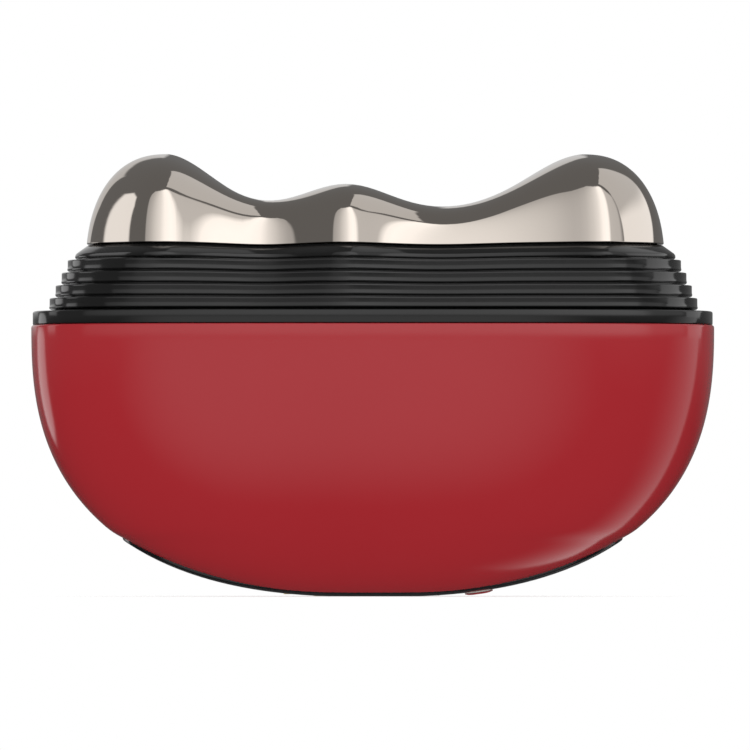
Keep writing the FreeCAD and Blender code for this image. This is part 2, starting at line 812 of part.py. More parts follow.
def make_collar():
    """Rubber collar: ribs that narrow towards the head, a lip under the head and a foot on the base ring."""
    wires = []
    for rib in range(RIB_COUNT):
        width = rib_half_width(rib)
        low = collar_bottom.value + d.low_rib_rise + rib * d.rib_pitch
        high = low + d.rib_thickness if rib < RIB_COUNT - 1 else collar_top.value
        first = collar_bottom.value if rib == 0 else low
        sections = [
            (first, d.groove_depth),
            (low + d.rib_edge, 0.0),
            (high - d.rib_edge, 0.0),
            (high, d.groove_depth if rib < RIB_COUNT - 1 else d.rib_step),
        ]
        for z, inset in sections:
            wires.append(plan_wire(lambda angle: collar_point(angle, width - inset), z))
    collar = Part.makeLoft(wires, True, True)
    foot_top = collar_bottom.value + d.foot_thickness
    lip_bottom = collar_top.value - d.lip_thickness
    bottom, top = (
        plan_wire(lambda angle: collar_bore_point(angle, width), z)
        for width, z in ((rib_half_width(0), foot_top), (rib_half_width(RIB_COUNT - 1), lip_bottom))
    )
    collar = collar.cut(Part.makeLoft([bottom, top], True, True))

    def lip_point(angle):
        return head_point(angle, d.lip_inset)

    def foot_point(angle):
        return clamp_point(angle, d.foot_reach - d.clamp_gap)

    collar = collar.cut(plan_prism(lip_point, lip_bottom - d.overrun, collar_top.value + d.overrun))
    collar = collar.cut(plan_prism(foot_point, collar_bottom.value - d.overrun, foot_top + d.overrun))
    for x, y in clamp_places():
        collar = collar.cut(round_post(screw_hole, collar_bottom - s.overrun, foot_top + d.overrun, x, y))
    node(feature("bellows_collar", collar), "bellows_collar")

    clamp_low = foot_top + d.seat_gap
    clamp_high = clamp_low + d.clamp_height

    def clamp_outer(angle):
        return clamp_point(angle, 0.0)

    def clamp_inner(angle):
        return clamp_point(angle, d.clamp_width)

    clamp = plan_prism(clamp_outer, clamp_low, clamp_high)
    clamp = clamp.cut(plan_prism(clamp_inner, clamp_low - d.overrun, clamp_high + d.overrun))
    for x, y in clamp_places():
        clamp = clamp.cut(round_post(screw_hole, clamp_low - d.overrun, clamp_high + d.overrun, x, y))
    node(feature("bellows_clamp", clamp), "bellows_clamp")
    length = s.clamp_height + s.foot_thickness + s.seat_gap * 2 + s.clamp_screw_bite
    small = (s.screw_radius, s.small_screw_head_radius + s.screw_clearance, s.small_screw_head_height)
    copies("clamp_screws", screw("clamp_screw", *small, length), clamp_places(), clamp_high)


# Head
def crest_z(x, inset):
    """Height of the head's ridge: a saddle with a bell-shaped rise at each lobe."""
    return (
        head_base.value
        + d.saddle_rise
        + d.left_lobe_rise * bell(x, -d.left_lobe_x, d.left_lobe_spread)
        + d.middle_lobe_rise * bell(x, -d.middle_lobe_x, d.middle_lobe_spread)
        + d.right_lobe_rise * bell(x, d.right_lobe_x, d.right_lobe_spread)
        - inset
    )


def head_solid(inset):
    """The head as a full solid: each point of its plan rises on a rounded profile to the ridge."""
    root = head_base.value - d.head_root
    profiles = []
    for angle in front_angles():
        x, y = head_point(angle, inset)
        width_share = x / (d.head_half_width - inset)
        eased = RIDGE_EASE_SHARE * math.sin(math.pi / 2 * width_share) + (1 - RIDGE_EASE_SHARE) * width_share
        ridge_x = d.crest_half_length * eased
        ridge_z = crest_z(ridge_x, inset)
        power = END_POWER + (FRONT_POWER - END_POWER) * abs(math.sin(angle))
        first = rise_angle(d.head_root / (ridge_z - root), power)
        full_reach = rounded_point(first, 1, 1, power)[0]
        profile = []
        for step in range(RISE_STEPS + 1):
            turn = first + (math.pi / 2 - first) * step / RISE_STEPS
            share, rise = rounded_point(turn, 1 / full_reach, ridge_z - root, power)
            profile.append(Vector(ridge_x + (x - ridge_x) * share, y * share, root + rise))
        profiles.append(profile)
    rows = [list(row) for row in zip(*profiles)]
    return mirrored_solid(rows, (0,))


head_places = corners(s.head_boss_x, s.head_boss_y)


def make_head():
    """Thin metal shell with screw bosses under its outer lobes, and the heating film inside it."""
    cavity = head_solid(d.head_wall)
    over_head = head_base + s.saddle_rise + s.left_lobe_rise + s.right_lobe_rise
    for x, y in head_places:
        cavity = cavity.cut(round_post(d.head_boss_radius, head_base - s.overrun, over_head, x, y))
    head = head_solid(0.0).cut(cavity)
    screw_top = plate_bottom + s.head_screw_length + s.screw_tip_gap
    boss_low = plate_top + s.seat_gap
    boss_high = head_base + s.head_wall
    for x, y in head_places:
        head = head.fuse(round_post(d.head_boss_radius, boss_low, boss_high, x, y))
    for x, y in head_places:
        head = head.cut(round_post(screw_hole, plate_bottom, screw_top, x, y))
    node(feature("massage_head", head), "massage_head")

    film_inset = d.head_wall + d.seat_gap
    film = head_solid(film_inset).cut(head_solid(film_inset + d.film_thickness))
    window = Part.makeBox(d.film_length, d.film_width, d.saddle_rise + d.left_lobe_rise)
    window_low = head_base.value + d.saddle_rise / 2
    window.translate(Vector(d.film_x - d.film_length / 2, -d.film_width / 2, window_low))
    node(feature("heater_film", film.common(window)), "heater_film")
    bead_top = crest_z(d.thermistor_x, film_inset + d.film_thickness + d.seat_gap * 2)
    bead = Part.makeCylinder(
        d.thermistor_radius,
        d.thermistor_length,
        Vector(d.thermistor_x - d.thermistor_length / 2, 0, bead_top - d.thermistor_radius),
        Vector(1, 0, 0),
    )
    node(feature("bead", bead), "thermistor")


motor_axis = plate_bottom - s.motor_gap - s.motor_radius
motor_left = s.motor_x - s.motor_length
bracket_x = s.motor_x - s.motor_length / 2
foot_y = s.motor_radius + s.bracket_wall + s.bracket_foot / 2
foot_places = [(bracket_x, foot_y), (bracket_x, -foot_y)]


def make_head_plate():
    """Carrier under the head with two guide bushes."""
    def edge_point(angle):
        return head_point(angle, d.plate_inset)

    plate = feature("plate_blank", plan_prism(edge_point, plate_bottom.value, plate_top.value))
    bushes = []
    holes = []
    bush_low = plate_bottom - s.guide_boss_length
    for side, x in (("left", -s.guide_x), ("right", s.guide_x)):
        length = s.guide_boss_length + s.plate_thickness / 2
        bushes.append(cylinder(side + "_bush", s.guide_boss_radius, length, x, ZERO, bush_low))
        bore = s.shoulder_radius + s.guide_clearance
        bore_length = s.guide_boss_length + s.plate_thickness + s.overrun * 2
        holes.append(cylinder(side + "_bush_bore", bore, bore_length, x, ZERO, bush_low - s.overrun))
    for index, (x, y) in enumerate(head_places):
        length = s.plate_thickness + s.overrun * 2
        holes.append(cylinder(f"head_hole_{index}", screw_hole, length, x, y, plate_bottom - s.overrun))
    for index, (x, y) in enumerate(foot_places):
        depth = s.bracket_screw_length - s.bracket_wall + s.screw_clearance + s.overrun
        holes.append(cylinder(f"foot_hole_{index}", small_screw_hole, depth, x, y, plate_bottom - s.overrun))
    node(cut("head_plate_cut", join("head_plate_body", plate, *bushes), *holes), "head_plate")
    screw_size = (s.screw_radius, s.screw_head_radius, s.screw_head_height, s.head_screw_length)
    head_screw = screw("head_screw", *screw_size)
    copies("head_screws", head_screw, head_places, plate_bottom, upside_down=True)


def make_motor():
    """Vibration motor along X under the plate, with its half-round weight hanging on the shaft."""
    bore = s.shaft_radius + s.shaft_clearance
    face = s.motor_length - s.motor_neck_length
    bottom = s.motor_length - s.shaft_inside - s.shaft_clearance
    can = turned_body("motor_body", [
        (ZERO, ZERO),
        (s.motor_radius, ZERO),
        (s.motor_radius, face),
        (s.motor_neck_radius, face),
        (s.motor_neck_radius, s.motor_length),
        (bore, s.motor_length),
        (bore, bottom),
        (ZERO, bottom),
    ])
    can.Placement = Placement(Vector(), Rotation(Vector(0, 1, 0), 90))
    place(can, motor_left, ZERO, motor_axis)
    node(can, "motor_can")
    shaft_length = s.shaft_inside + s.shaft_outside
    shaft_x = s.motor_x - s.shaft_inside
    node(cylinder("shaft_rod", s.shaft_radius, shaft_length, shaft_x, ZERO, motor_axis, "x"), "motor_shaft")

    weight_x = s.motor_x + s.weight_gap
    half = cylinder("weight_half", s.weight_radius, s.weight_length, weight_x, ZERO, motor_axis, "x")
    half.Angle = 180
    half.Placement.Rotation = Rotation(Vector(1, 0, 0), -90) * half.Placement.Rotation
    hub = cylinder("weight_hub", s.weight_hub_radius, s.weight_length, weight_x, ZERO, motor_axis, "x")
    bore_length = s.weight_length + s.overrun * 2
    hole = cylinder("weight_bore", s.shaft_radius, bore_length, weight_x - s.overrun, ZERO, motor_axis, "x")
    node(cut("weight_cut", join("weight_body", half, hub), hole), "eccentric_weight")

    inner = s.motor_radius + s.seat_gap
    outer = inner + s.bracket_wall
    left = bracket_x - s.bracket_width / 2
    rise = plate_bottom - motor_axis
    saddle = cylinder("saddle_round", outer, s.bracket_width, left, ZERO, motor_axis, "x")
    cheeks = block("saddle_cheeks", s.bracket_width, outer * 2, rise, bracket_x, ZERO, motor_axis)
    crown = block("saddle_crown", s.bracket_width * 2, outer * 2, outer, bracket_x, ZERO, plate_bottom)
    mouth_width = s.bracket_width + s.overrun * 2
    space = cylinder("saddle_space", inner, mouth_width, left - s.overrun, ZERO, motor_axis, "x")
    mouth = block("saddle_mouth", mouth_width, inner * 2, rise + s.overrun, bracket_x, ZERO, motor_axis)
    feet_low = plate_bottom - s.bracket_wall
    feet = []
    holes = []
    for index, (x, y) in enumerate(foot_places):
        foot_width = s.bracket_foot + s.bracket_wall
        side = s.bracket_wall / 2 if index else -(s.bracket_wall / 2)
        foot_size = (s.bracket_width, foot_width, s.bracket_wall)
        feet.append(block(f"foot_{index}", *foot_size, x, y + side, feet_low))
        length = s.bracket_wall + s.overrun * 2
        holes.append(cylinder(f"foot_bore_{index}", small_screw_hole, length, x, y, feet_low - s.overrun))
    strap = join("saddle_body", saddle, cheeks, *feet)
    node(cut("saddle_cut", strap, crown, space, mouth, *holes), "motor_bracket")
    small = (s.small_screw_radius, s.small_screw_head_radius, s.small_screw_head_height)
    foot_screw = screw("foot_screw", *small, s.bracket_screw_length)
    copies("bracket_screws", foot_screw, foot_places, feet_low, upside_down=True)


# Chassis
pcb_places = corners(s.pcb_length / 2 - s.pcb_hole_inset, s.pcb_width / 2 - s.pcb_hole_inset)
post_top = plate_bottom - s.guide_boss_length - s.float_travel - s.stop_gap


def make_chassis():
    """Inner frame on the bowl's bosses: posts for the guide screws above, the cell below."""
    share = bowl_plan_share(d.chassis_height, d.shell_wall)

    def edge_point(angle):
        x, y = bowl_point(angle, d.shell_wall)
        fit = share - d.chassis_gap / d.rim_half_depth
        return x * fit, y * fit

    plate = feature("chassis_blank", plan_prism(edge_point, d.chassis_height, chassis_top.value))
    solids = [plate]
    holes = []
    for side, x in (("left", -s.guide_x), ("right", s.guide_x)):
        length = post_top - s.chassis_height
        solids.append(cylinder(side + "_post", s.post_radius, length, x, ZERO, s.chassis_height))
        depth = s.shoulder_thread_length + s.screw_tip_gap + s.overrun
        thread = s.shoulder_thread_radius + s.screw_clearance
        hole_low = post_top - s.shoulder_thread_length - s.screw_tip_gap
        holes.append(cylinder(side + "_post_bore", thread, depth, x, ZERO, hole_low))
    for index, (x, y) in enumerate(pcb_places):
        length = s.standoff_height + s.chassis_thickness
        solids.append(cylinder(f"standoff_{index}", s.standoff_radius, length, x, y, s.chassis_height))
        depth = s.pcb_screw_length - s.pcb_thickness + s.screw_tip_gap
        hole_low = pcb_bottom - depth
        holes.append(cylinder(f"standoff_bore_{index}", small_screw_hole, depth + s.overrun, x, y, hole_low))
    for index, (x, y) in enumerate(case_places):
        length = s.chassis_thickness + s.overrun * 2
        holes.append(cylinder(f"case_hole_{index}", screw_hole, length, x, y, s.chassis_height - s.overrun))
    slot_height = s.chassis_thickness + s.overrun * 2
    slot_low = s.chassis_height - s.overrun
    slot_size = (s.lead_slot_length, s.lead_slot_width, slot_height)
    holes.append(block("lead_slot", *slot_size, s.lead_slot_x, s.lead_slot_y, slot_low))
    node(cut("chassis_cut", join("chassis_body", *solids), *holes), "chassis")
    case_screw = screw(
        "case_screw", s.screw_radius, s.screw_head_radius, s.screw_head_height, s.chassis_screw_length
    )
    copies("chassis_screws", case_screw, case_places, chassis_top)

    shoulder_length = plate_top + s.seat_gap * 2 - post_top
    guide_screw = turned_body("guide_screw", [
        (ZERO, -s.shoulder_thread_length),
        (s.shoulder_thread_radius, -s.shoulder_thread_length),
        (s.shoulder_thread_radius, ZERO),
        (s.shoulder_radius, ZERO),
        (s.shoulder_radius, shoulder_length),
        (s.shoulder_head_radius, shoulder_length),
        (s.shoulder_head_radius, shoulder_length + s.shoulder_head_height),
        (ZERO, shoulder_length + s.shoulder_head_height),
    ])
    copies("shoulder_screws", guide_screw, [(-s.guide_x, ZERO), (s.guide_x, ZERO)], post_top)


# Electronics
socket_places = [
    (s.battery_socket_x, s.side_socket_y),
    (s.board_socket_x, s.side_socket_y),
    (s.head_socket_x, -s.head_socket_y),
]


def make_electronics():
    """Main board on the chassis with its parts, and the cell stuck under the chassis."""
    reach_x, reach_y = s.pcb_length / 2, s.pcb_width / 2
    body = doc.addObject("PartDesign::Body", "pcb_body")
    outline = sketch_on(body, "XY_Plane", "pcb_outline")
    polygon(outline, [(-reach_x, -reach_y), (reach_x, -reach_y), (reach_x, reach_y), (-reach_x, reach_y)])
    pad = body.newObject("PartDesign::Pad", "pcb_pad")
    pad.Profile = outline
    pad.setExpression("Length", s.pcb_thickness.text)
    drilled(body, "pcb", small_screw_hole, pcb_places)
    place(body, ZERO, ZERO, pcb_bottom)
    node(body, "main_pcb")
    small = (s.small_screw_radius, s.small_screw_head_radius, s.small_screw_head_height)
    copies("pcb_screws", screw("pcb_screw", *small, s.pcb_screw_length), pcb_places, pcb_top)
    chip = block("chip", s.chip_length, s.chip_length, s.chip_height, -s.chip_x, s.chip_y, pcb_top)
    node(chip, "controller_chip")
    coil = cylinder("coil", s.inductor_radius, s.inductor_height, s.inductor_x, -s.inductor_y, pcb_top)
    node(coil, "boost_inductor")
    sockets = [
        block(f"socket_{index}", s.socket_length, s.socket_width, s.socket_height, x, y, pcb_top)
        for index, (x, y) in enumerate(socket_places)
    ]
    group = doc.addObject("Part::Compound", "sockets")
    group.Links = sockets
    node(group, "lead_sockets")

    pad_low = s.chassis_height - s.battery_pad_thickness
    pad_length = s.battery_length - s.battery_pad_margin * 2
    pad_width = s.battery_width - s.battery_pad_margin * 2
    pad_size = (pad_length, pad_width, s.battery_pad_thickness)
    node(block("pad_block", *pad_size, -s.battery_x, ZERO, pad_low), "battery_pad")
    cell_low = pad_low - s.battery_height
    cell_size = (s.battery_length, s.battery_width, s.battery_height)
    cell = block("cell_block", *cell_size, -s.battery_x, ZERO, cell_low)
    doc.recompute()
    rounded = doc.addObject("Part::Fillet", "cell_round")
    rounded.Base = cell
    upright = [
        index
        for index, edge in enumerate(cell.Shape.Edges, start=1)
        if abs(edge.tangentAt(edge.FirstParameter).z) > UPRIGHT_SHARE
    ]
    rounded.Edges = [(index, d.battery_round, d.battery_round) for index in upright]
    node(rounded, "battery")


# Wires
def side_lead_end(x):
    """Up through the chassis slot and over the edge of the main board into a socket at its back."""
    socket_z = pcb_top + s.socket_height / 2
    return [
        (x, s.lead_slot_y, s.chassis_height - s.lead_slot_width / 2),
        (x, s.lead_slot_y, chassis_top + s.standoff_height / 2),
        (x, (s.pcb_width / 2 + s.lead_slot_y) / 2, socket_z),
        (x, s.side_socket_y + s.socket_width / 2, socket_z),
    ]


def battery_lead_route():
    """From the side of the cell to its socket."""
    cell_side = s.battery_width / 2
    cell_z = s.chassis_height - s.battery_pad_thickness - s.battery_height / 2
    start = [
        (s.battery_socket_x, cell_side, cell_z),
        (s.battery_socket_x, (cell_side + s.lead_slot_y) / 2, cell_z),
    ]
    return start + side_lead_end(s.battery_socket_x)


def board_lead_route():
    """From the edge of the switch board past the cell to its socket."""
    board_z = s.board_height + s.board_thickness / 2
    start = [
        (s.board_socket_x, s.board_width / 2, board_z),
        (s.board_socket_x, s.board_width, board_z),
        (s.board_socket_x, (s.board_width + s.lead_slot_y) / 2, (board_z + s.chassis_height) / 2),
    ]
    return start + side_lead_end(s.board_socket_x)


def head_lead_route():
    """From under the head plate down to its socket, with slack to the side for the head's travel."""
    top = plate_bottom - s.lead_radius
    bottom = pcb_top + s.socket_height
    last = len(SLACK_SHARES) - 1
    return [
        (s.head_socket_x + s.lead_slack * share, -s.head_socket_y, top + (bottom - top) * (step / last))
        for step, share in enumerate(SLACK_SHARES)
    ]




def lead_path(points):
    """Straight runs joined by the largest tangent arcs that the runs leave room for."""
    edges = []
    radii = []
    start = points[0]
    for before, corner, after in zip(points, points[1:], points[2:]):
        towards = (before - corner).normalize()
        away = (after - corner).normalize()
        trim = BEND_SHARE * min(before.distanceToPoint(corner), after.distanceToPoint(corner))
        half_turn = (math.pi - towards.getAngle(away)) / 2
        radii.append(trim / math.tan(half_turn))
        entry = corner + towards * trim
        leave = corner + away * trim
        inward = (towards + away).normalize()
        middle = corner + inward * (radii[-1] / math.cos(half_turn) - radii[-1])
        edges.append(Part.LineSegment(start, entry).toShape())
        edges.append(Part.Arc(entry, middle, leave).toShape())
        start = leave
    edges.append(Part.LineSegment(start, points[-1]).toShape())
    return Part.Wire(edges), radii


def make_leads():
    routes = {
        "battery_lead": battery_lead_route(),
        "board_lead": board_lead_route(),
        "head_lead": head_lead_route(),
    }
    for label, route in routes.items():
        points = [Vector(*(float(value) for value in point)) for point in route]
        path, radii = lead_path(points)
        circle = Part.Circle(points[0], points[1] - points[0], d.lead_radius)
        tube = path.makePipeShell([Part.Wire(circle.toShape())], True, False)
        expected = math.pi * d.lead_radius ** 2 * path.Length
        print(label, "bend radii", [round(radius, 2) for radius in radii], "volume", tube.Volume / expected)
        node(feature(label, tube), label)


make_outer_shell()
make_bottom_panel()
make_panel_gasket()
make_button()
make_switch_board()
make_base_ring()
make_collar()
make_head()
make_head_plate()
make_motor()
make_chassis()
make_electronics()
make_leads()
doc.recompute()

faults = [obj.Name for obj in doc.Objects if {"Invalid", "Error"} & set(obj.State)]
faults += [obj.Label for obj in nodes if obj.Shape.isNull() or not obj.Shape.isValid()]
if faults:
    raise RuntimeError("faulty pieces: " + ", ".join(faults))
os.makedirs("parts", exist_ok=True)
for obj in nodes:
    obj.Shape.exportStep(os.path.join("parts", obj.Label + ".step"))
    print(obj.Label, "solids", len(obj.Shape.Solids), "volume", round(obj.Shape.Volume, 2))
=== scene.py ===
import math

import bmesh
import bpy
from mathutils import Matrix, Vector


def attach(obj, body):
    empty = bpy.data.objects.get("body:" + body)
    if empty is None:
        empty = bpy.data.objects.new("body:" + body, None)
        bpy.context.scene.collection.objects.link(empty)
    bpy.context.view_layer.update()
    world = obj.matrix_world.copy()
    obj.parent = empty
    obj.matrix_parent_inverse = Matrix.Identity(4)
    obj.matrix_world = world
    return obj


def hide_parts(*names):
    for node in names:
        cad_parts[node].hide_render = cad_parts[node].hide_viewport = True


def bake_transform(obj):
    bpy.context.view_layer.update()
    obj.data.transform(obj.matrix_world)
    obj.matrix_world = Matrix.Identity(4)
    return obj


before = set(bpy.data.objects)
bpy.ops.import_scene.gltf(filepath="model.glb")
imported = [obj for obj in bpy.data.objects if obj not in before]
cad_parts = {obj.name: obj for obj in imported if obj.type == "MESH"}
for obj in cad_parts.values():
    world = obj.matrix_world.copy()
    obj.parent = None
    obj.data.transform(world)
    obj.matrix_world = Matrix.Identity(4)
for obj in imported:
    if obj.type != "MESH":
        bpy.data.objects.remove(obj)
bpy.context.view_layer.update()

# Palm-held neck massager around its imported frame: polished three-lobed head, rubber collar and red bowl.
# The pieces' lengths are in millimetres and become metres in to_mesh(). The studio is in metres and
# degrees. The front is towards -Y.
MM = 0.001

# Bowl and bottom panel
RIM_WIDTH, RIM_DEPTH, RIM_Z = 45.0, 25.0, 35.7
REST_CUT = 0.1
SHELL_WALL = 2.0
PLAN_POWER = 3.4
BOWL_WIDTH_POWER, BOWL_DROP_POWER = 2.5, 2.6
RIM_EDGE = 0.36
PANEL_LENGTH, PANEL_WIDTH = 33.0, 7.0
PANEL_GAP = 0.15
PANEL_WALL = 1.6
PANEL_EDGE = 0.25
# The bowl lies further in beside the panel: how far, between which X, and between which shares of its plan
PANEL_PROUD = 0.42
PROUD_REACH = (6.0, 26.0)
PROUD_SHARES = (0.70, 0.78)

# Base ring
RING_WIDTH, RING_DEPTH = 44.8, 24.8
RING_LOW, RING_HIGH = 35.75, 37.5
RING_SPAN = 10.0
RING_EDGE = 0.28
TONGUE_DROP, TONGUE_WALL, TONGUE_GAP = 2.2, 1.2, 0.1

# Collar
COLLAR_LOW, COLLAR_HIGH = 37.55, 46.45
RIB_COUNT = 5
LOW_RIB_WIDTH, RIB_STEP, RIB_PITCH = 42.75, 0.752, 1.68
RIB_THICKNESS, LOW_RIB_RISE = 1.42, 0.27
GROOVE_DEPTH = 0.4
RIB_EDGE = 0.12
RIB_LIP_EDGE = 0.2
# A rib's face as (inset, rise from its lower edge); the top rib as (outset from the head's plan, height)
RIB_FACE = ((0.0, 0.24), (0.035, 0.36), (0.05, 0.5), (0.054, 0.7), (0.058, 1.2))
TOP_RIB = (
    (1.15, 44.46), (1.43, 44.5), (1.52, 44.58), (1.55, 44.72), (1.52, 44.9), (1.45, 45.06), (1.33, 45.2),
)
COLLAR_WALL = 1.2
LIP_INSET, LIP_DROP = 0.15, 0.2
LIP_STEP, LIP_END = 1.0, 3.0

# Head
HEAD_WIDTH, HEAD_BASE, HEAD_ROOT = 38.05, 46.5, 3.0
HEAD_PLAN_POWER = 3.0
WAIST_DEPTH = 13.4
# Each bulge, valley and lobe is (middle, size, spread) along X
BULGES = (
    (-29.7, 3.2, 5.0), (-29.7, 4.2, 8.2), (-13.5, -1.8, 4.5), (-3.85, 1.3, 2.8), (-3.85, 2.9, 6.0),
    (31.0, 2.9, 4.4), (31.0, 4.4, 9.0),
)
VALLEYS = ((-14.5, 0.28, 6.5), (8.5, 0.3, 8.5))
SADDLE_RISE = 4.25
LOBES = ((-28.0, 7.65, 9.0), (-3.9, 3.6, 8.1), (27.9, 7.6, 10.8))
HEAD_SHIFT = 0.34
CREST_LENGTH = 27.3
RIDGE_EASE_SHARE = 0.85
END_POWER, FRONT_POWER = 2.3, 3.3
HEAD_WALL = 0.8
HEAD_EDGE = 0.06
EDGE_STEP = 0.08

# Button, charge light and charging pins
BUTTON_X, BUTTON_WIDTH, BUTTON_LENGTH = 14.0, 1.85, 3.2
BUTTON_WALL, BUTTON_PROUD = 0.45, 0.38
LIP_HEIGHT, SKIRT_SETBACK = 0.24, 0.06
LIP_ROUND = LIP_HEIGHT / 3
BUTTON_CROWN, CROWN_POWER = 0.55, 4
LENS_X, LENS_RADIUS = 8.0, 0.8
PIN_XS, PIN_RADIUS = (-10.5, -6.5), 1.25
FIT_GAP = 0.05

# Lead to the head
LEAD_X, LEAD_Y, LEAD_LOW, LEAD_HIGH = 13.0, -5.0, 27.3, 43.1
LEAD_RADIUS, LEAD_SLACK = 0.4, 2.6
SLACK_SHARES = (0, 0, 1, 1, 0, 0)
BEND_SHARE, BEND_STEPS = 0.45, 8
LEAD_ROUND = 24

# Mesh density and shading
CREASE_ANGLE = math.radians(35)
ROUND = 256
FINE_ROUND = 512
SLOT_ROUND = 64
CORNER_STEPS = 4
RISE = 48
PANEL_ROWS = 24
# Tolerances: points joined, in metres; least half width of a slot; a ray along a slot
MERGE_DISTANCE = 1e-7
LEAST_HALF = 1e-4
LEVEL_RAY = 1e-9


# Curves of the pieces
def rounded_point(angle, half_width, half_depth, power):
    """A point of a rounded rectangle, on the ray of an ellipse's angle."""
    across, along = math.cos(angle), math.sin(angle)
    reach = (abs(across) ** power + abs(along) ** power) ** (1 / power)
    return half_width * across / reach, half_depth * along / reach


def rise_angle(share, power):
    """The ray angle at which a rounded outline has climbed this share of its height."""
    return math.atan((share ** power / (1 - share ** power)) ** (1 / power))


def bell(x, middle, spread):
    """1 at the middle, falling off smoothly to both sides."""
    return math.exp(-((x - middle) / spread) ** 2)


def ease(low, high, value):
    """0 below the low end, 1 above the high end, smooth between."""
    t = min(max((value - low) / (high - low), 0.0), 1.0)
    return t * t * (3 - 2 * t)


def head_point(angle, inset):
    """A point of the head's plan, wider in depth at the lobes."""
    x, y_share = rounded_point(angle, HEAD_WIDTH - inset, 1, HEAD_PLAN_POWER)
    depth = WAIST_DEPTH + sum(height * bell(x, middle, spread) for middle, height, spread in BULGES)
    return x + HEAD_SHIFT, (depth - inset) * y_share


def valley_dip(x):
    """How far the line between head and collar hangs down between the lobes."""
    return sum(depth * bell(x, middle, spread) for middle, depth, spread in VALLEYS)


def ring_point(angle, inset):
    """A point of the base ring's plan."""
    return rounded_point(angle, RING_WIDTH - inset, RING_DEPTH - inset, PLAN_POWER)


def bowl_point(angle, inset=0.0):
    """A point of the bowl's plan at its rim."""
    return rounded_point(angle, RIM_WIDTH - inset, RIM_DEPTH - inset, PLAN_POWER)


def collar_point(angle, half_width, inset):
    """A plan between the head's and the base ring's, chosen by its half width."""
    share = (half_width - HEAD_WIDTH) / (RING_WIDTH - HEAD_WIDTH)
    head, ring = head_point(angle, inset), ring_point(angle, inset)
    return tuple(a * (1 - share) + b * share for a, b in zip(head, ring))


def bowl_z(x, y):
    """Height of the bowl's face under a point of its plan."""
    across, along = abs(x / RIM_WIDTH) ** PLAN_POWER, abs(y / RIM_DEPTH) ** PLAN_POWER
    plan_share = min((across + along) ** (1 / PLAN_POWER), 1.0)
    drop = RIM_Z + REST_CUT
    return RIM_Z - drop * (1 - plan_share ** BOWL_WIDTH_POWER) ** (1 / BOWL_DROP_POWER)


def slot_point(angle, half_length, half_width):
    """A point of a slot with round ends along X, on the ray from its middle."""
    straight = half_length - half_width
    across, along = math.cos(angle), math.sin(angle)
    if abs(along) > LEVEL_RAY:
        reach = half_width / abs(along)
        if abs(across) * reach <= straight:
            return across * reach, along * reach
    side = straight * abs(across)
    reach = side + math.sqrt(side ** 2 - straight ** 2 + half_width ** 2)
    return across * reach, along * reach


def turns(count=ROUND):
    """Angles of a whole turn."""
    return [2 * math.pi * step / count for step in range(count)]


# Mesh makers
def to_mesh(name, points, faces, material):
    """A smooth-shaded object from points in millimetres."""
    mesh = bpy.data.meshes.new(name)
    mesh.from_pydata([Vector(point) * MM for point in points], [], faces)
    mesh.validate()
    mesh.materials.append(material)
    mesh.shade_smooth()
    obj = bpy.data.objects.new(name, mesh)
    bpy.context.scene.collection.objects.link(obj)
    return obj


def merged(obj):
    """Join points that lie on each other and turn all faces outwards."""
    mesh = bmesh.new()
    mesh.from_mesh(obj.data)
    bmesh.ops.remove_doubles(mesh, verts=mesh.verts, dist=MERGE_DISTANCE)
    bmesh.ops.dissolve_degenerate(mesh, edges=mesh.edges, dist=MERGE_DISTANCE)
    bmesh.ops.recalc_face_normals(mesh, faces=mesh.faces)
    mesh.to_mesh(obj.data)
    mesh.free()
    obj.data.shade_smooth()
    return obj


def loft(name, loops, material, closed=False):
    """A skin over loops of equal count; closed joins the last loop back to the first."""
    count = len(loops[0])
    points = [point for loop in loops for point in loop]
    faces = []
    for row in range(len(loops) if closed else len(loops) - 1):
        low, high = row * count, (row + 1) % len(loops) * count
        for step in range(count):
            after = (step + 1) % count
            faces.append((low + step, low + after, high + after, high + step))
    return merged(to_mesh(name, points, faces, material))


def rounded_corner(corner, before, after, radius, steps=CORNER_STEPS):
    """Points of a rounded corner of a section; the radius is cut back along both sides."""
    corner, before, after = Vector(corner), Vector(before), Vector(after)
    entry = corner + (before - corner).normalized() * radius
    leave = corner + (after - corner).normalized() * radius
    arc = []
    for step in range(steps + 1):
        t = step / steps
        arc.append(tuple(entry * (1 - t) ** 2 + corner * 2 * t * (1 - t) + leave * t ** 2))
    return arc


def rounded_section(corners):
    """A closed section from (u, z, radius) corners."""
    section = []
    for index, (u, z, radius) in enumerate(corners):
        before, after = corners[index - 1], corners[(index + 1) % len(corners)]
        if radius:
            section += rounded_corner((u, z), before[:2], after[:2], radius)
        else:
            section.append((u, z))
    return section


def slot_prism(name, x, half_x, half_y, section, material, crown=0.0):
    """A piece on a slot plan across X: its section is (growth of the plan, height over the bowl's face).

    The crown takes from what stands out below the face, most at the slot's long sides.
    """
    loops = []
    for growth, rise in section:
        loop = []
        half_along, half_across = max(half_y + growth, LEAST_HALF), max(half_x + growth, LEAST_HALF)
        for angle in turns(SLOT_ROUND):
            along, across = slot_point(angle, half_along, half_across)
            px, py = x + across, along
            flat = 1 - crown * (across / half_x) ** CROWN_POWER if rise < 0 else 1
            loop.append((px, py, max(bowl_z(px, py), 0.0) + rise * flat))
        loops.append(loop)
    return loft(name, loops, material)


# Materials: patterns in waves per metre, and how far the roughness strays from its value
NOISE_DETAIL = 4.0
METAL_TONE, METAL_GLOSS, METAL_STRAY = 60, 900, (0.8, 1.3)
MOULD_TONE, MOULD_STRAY = 45, (0.85, 1.2)


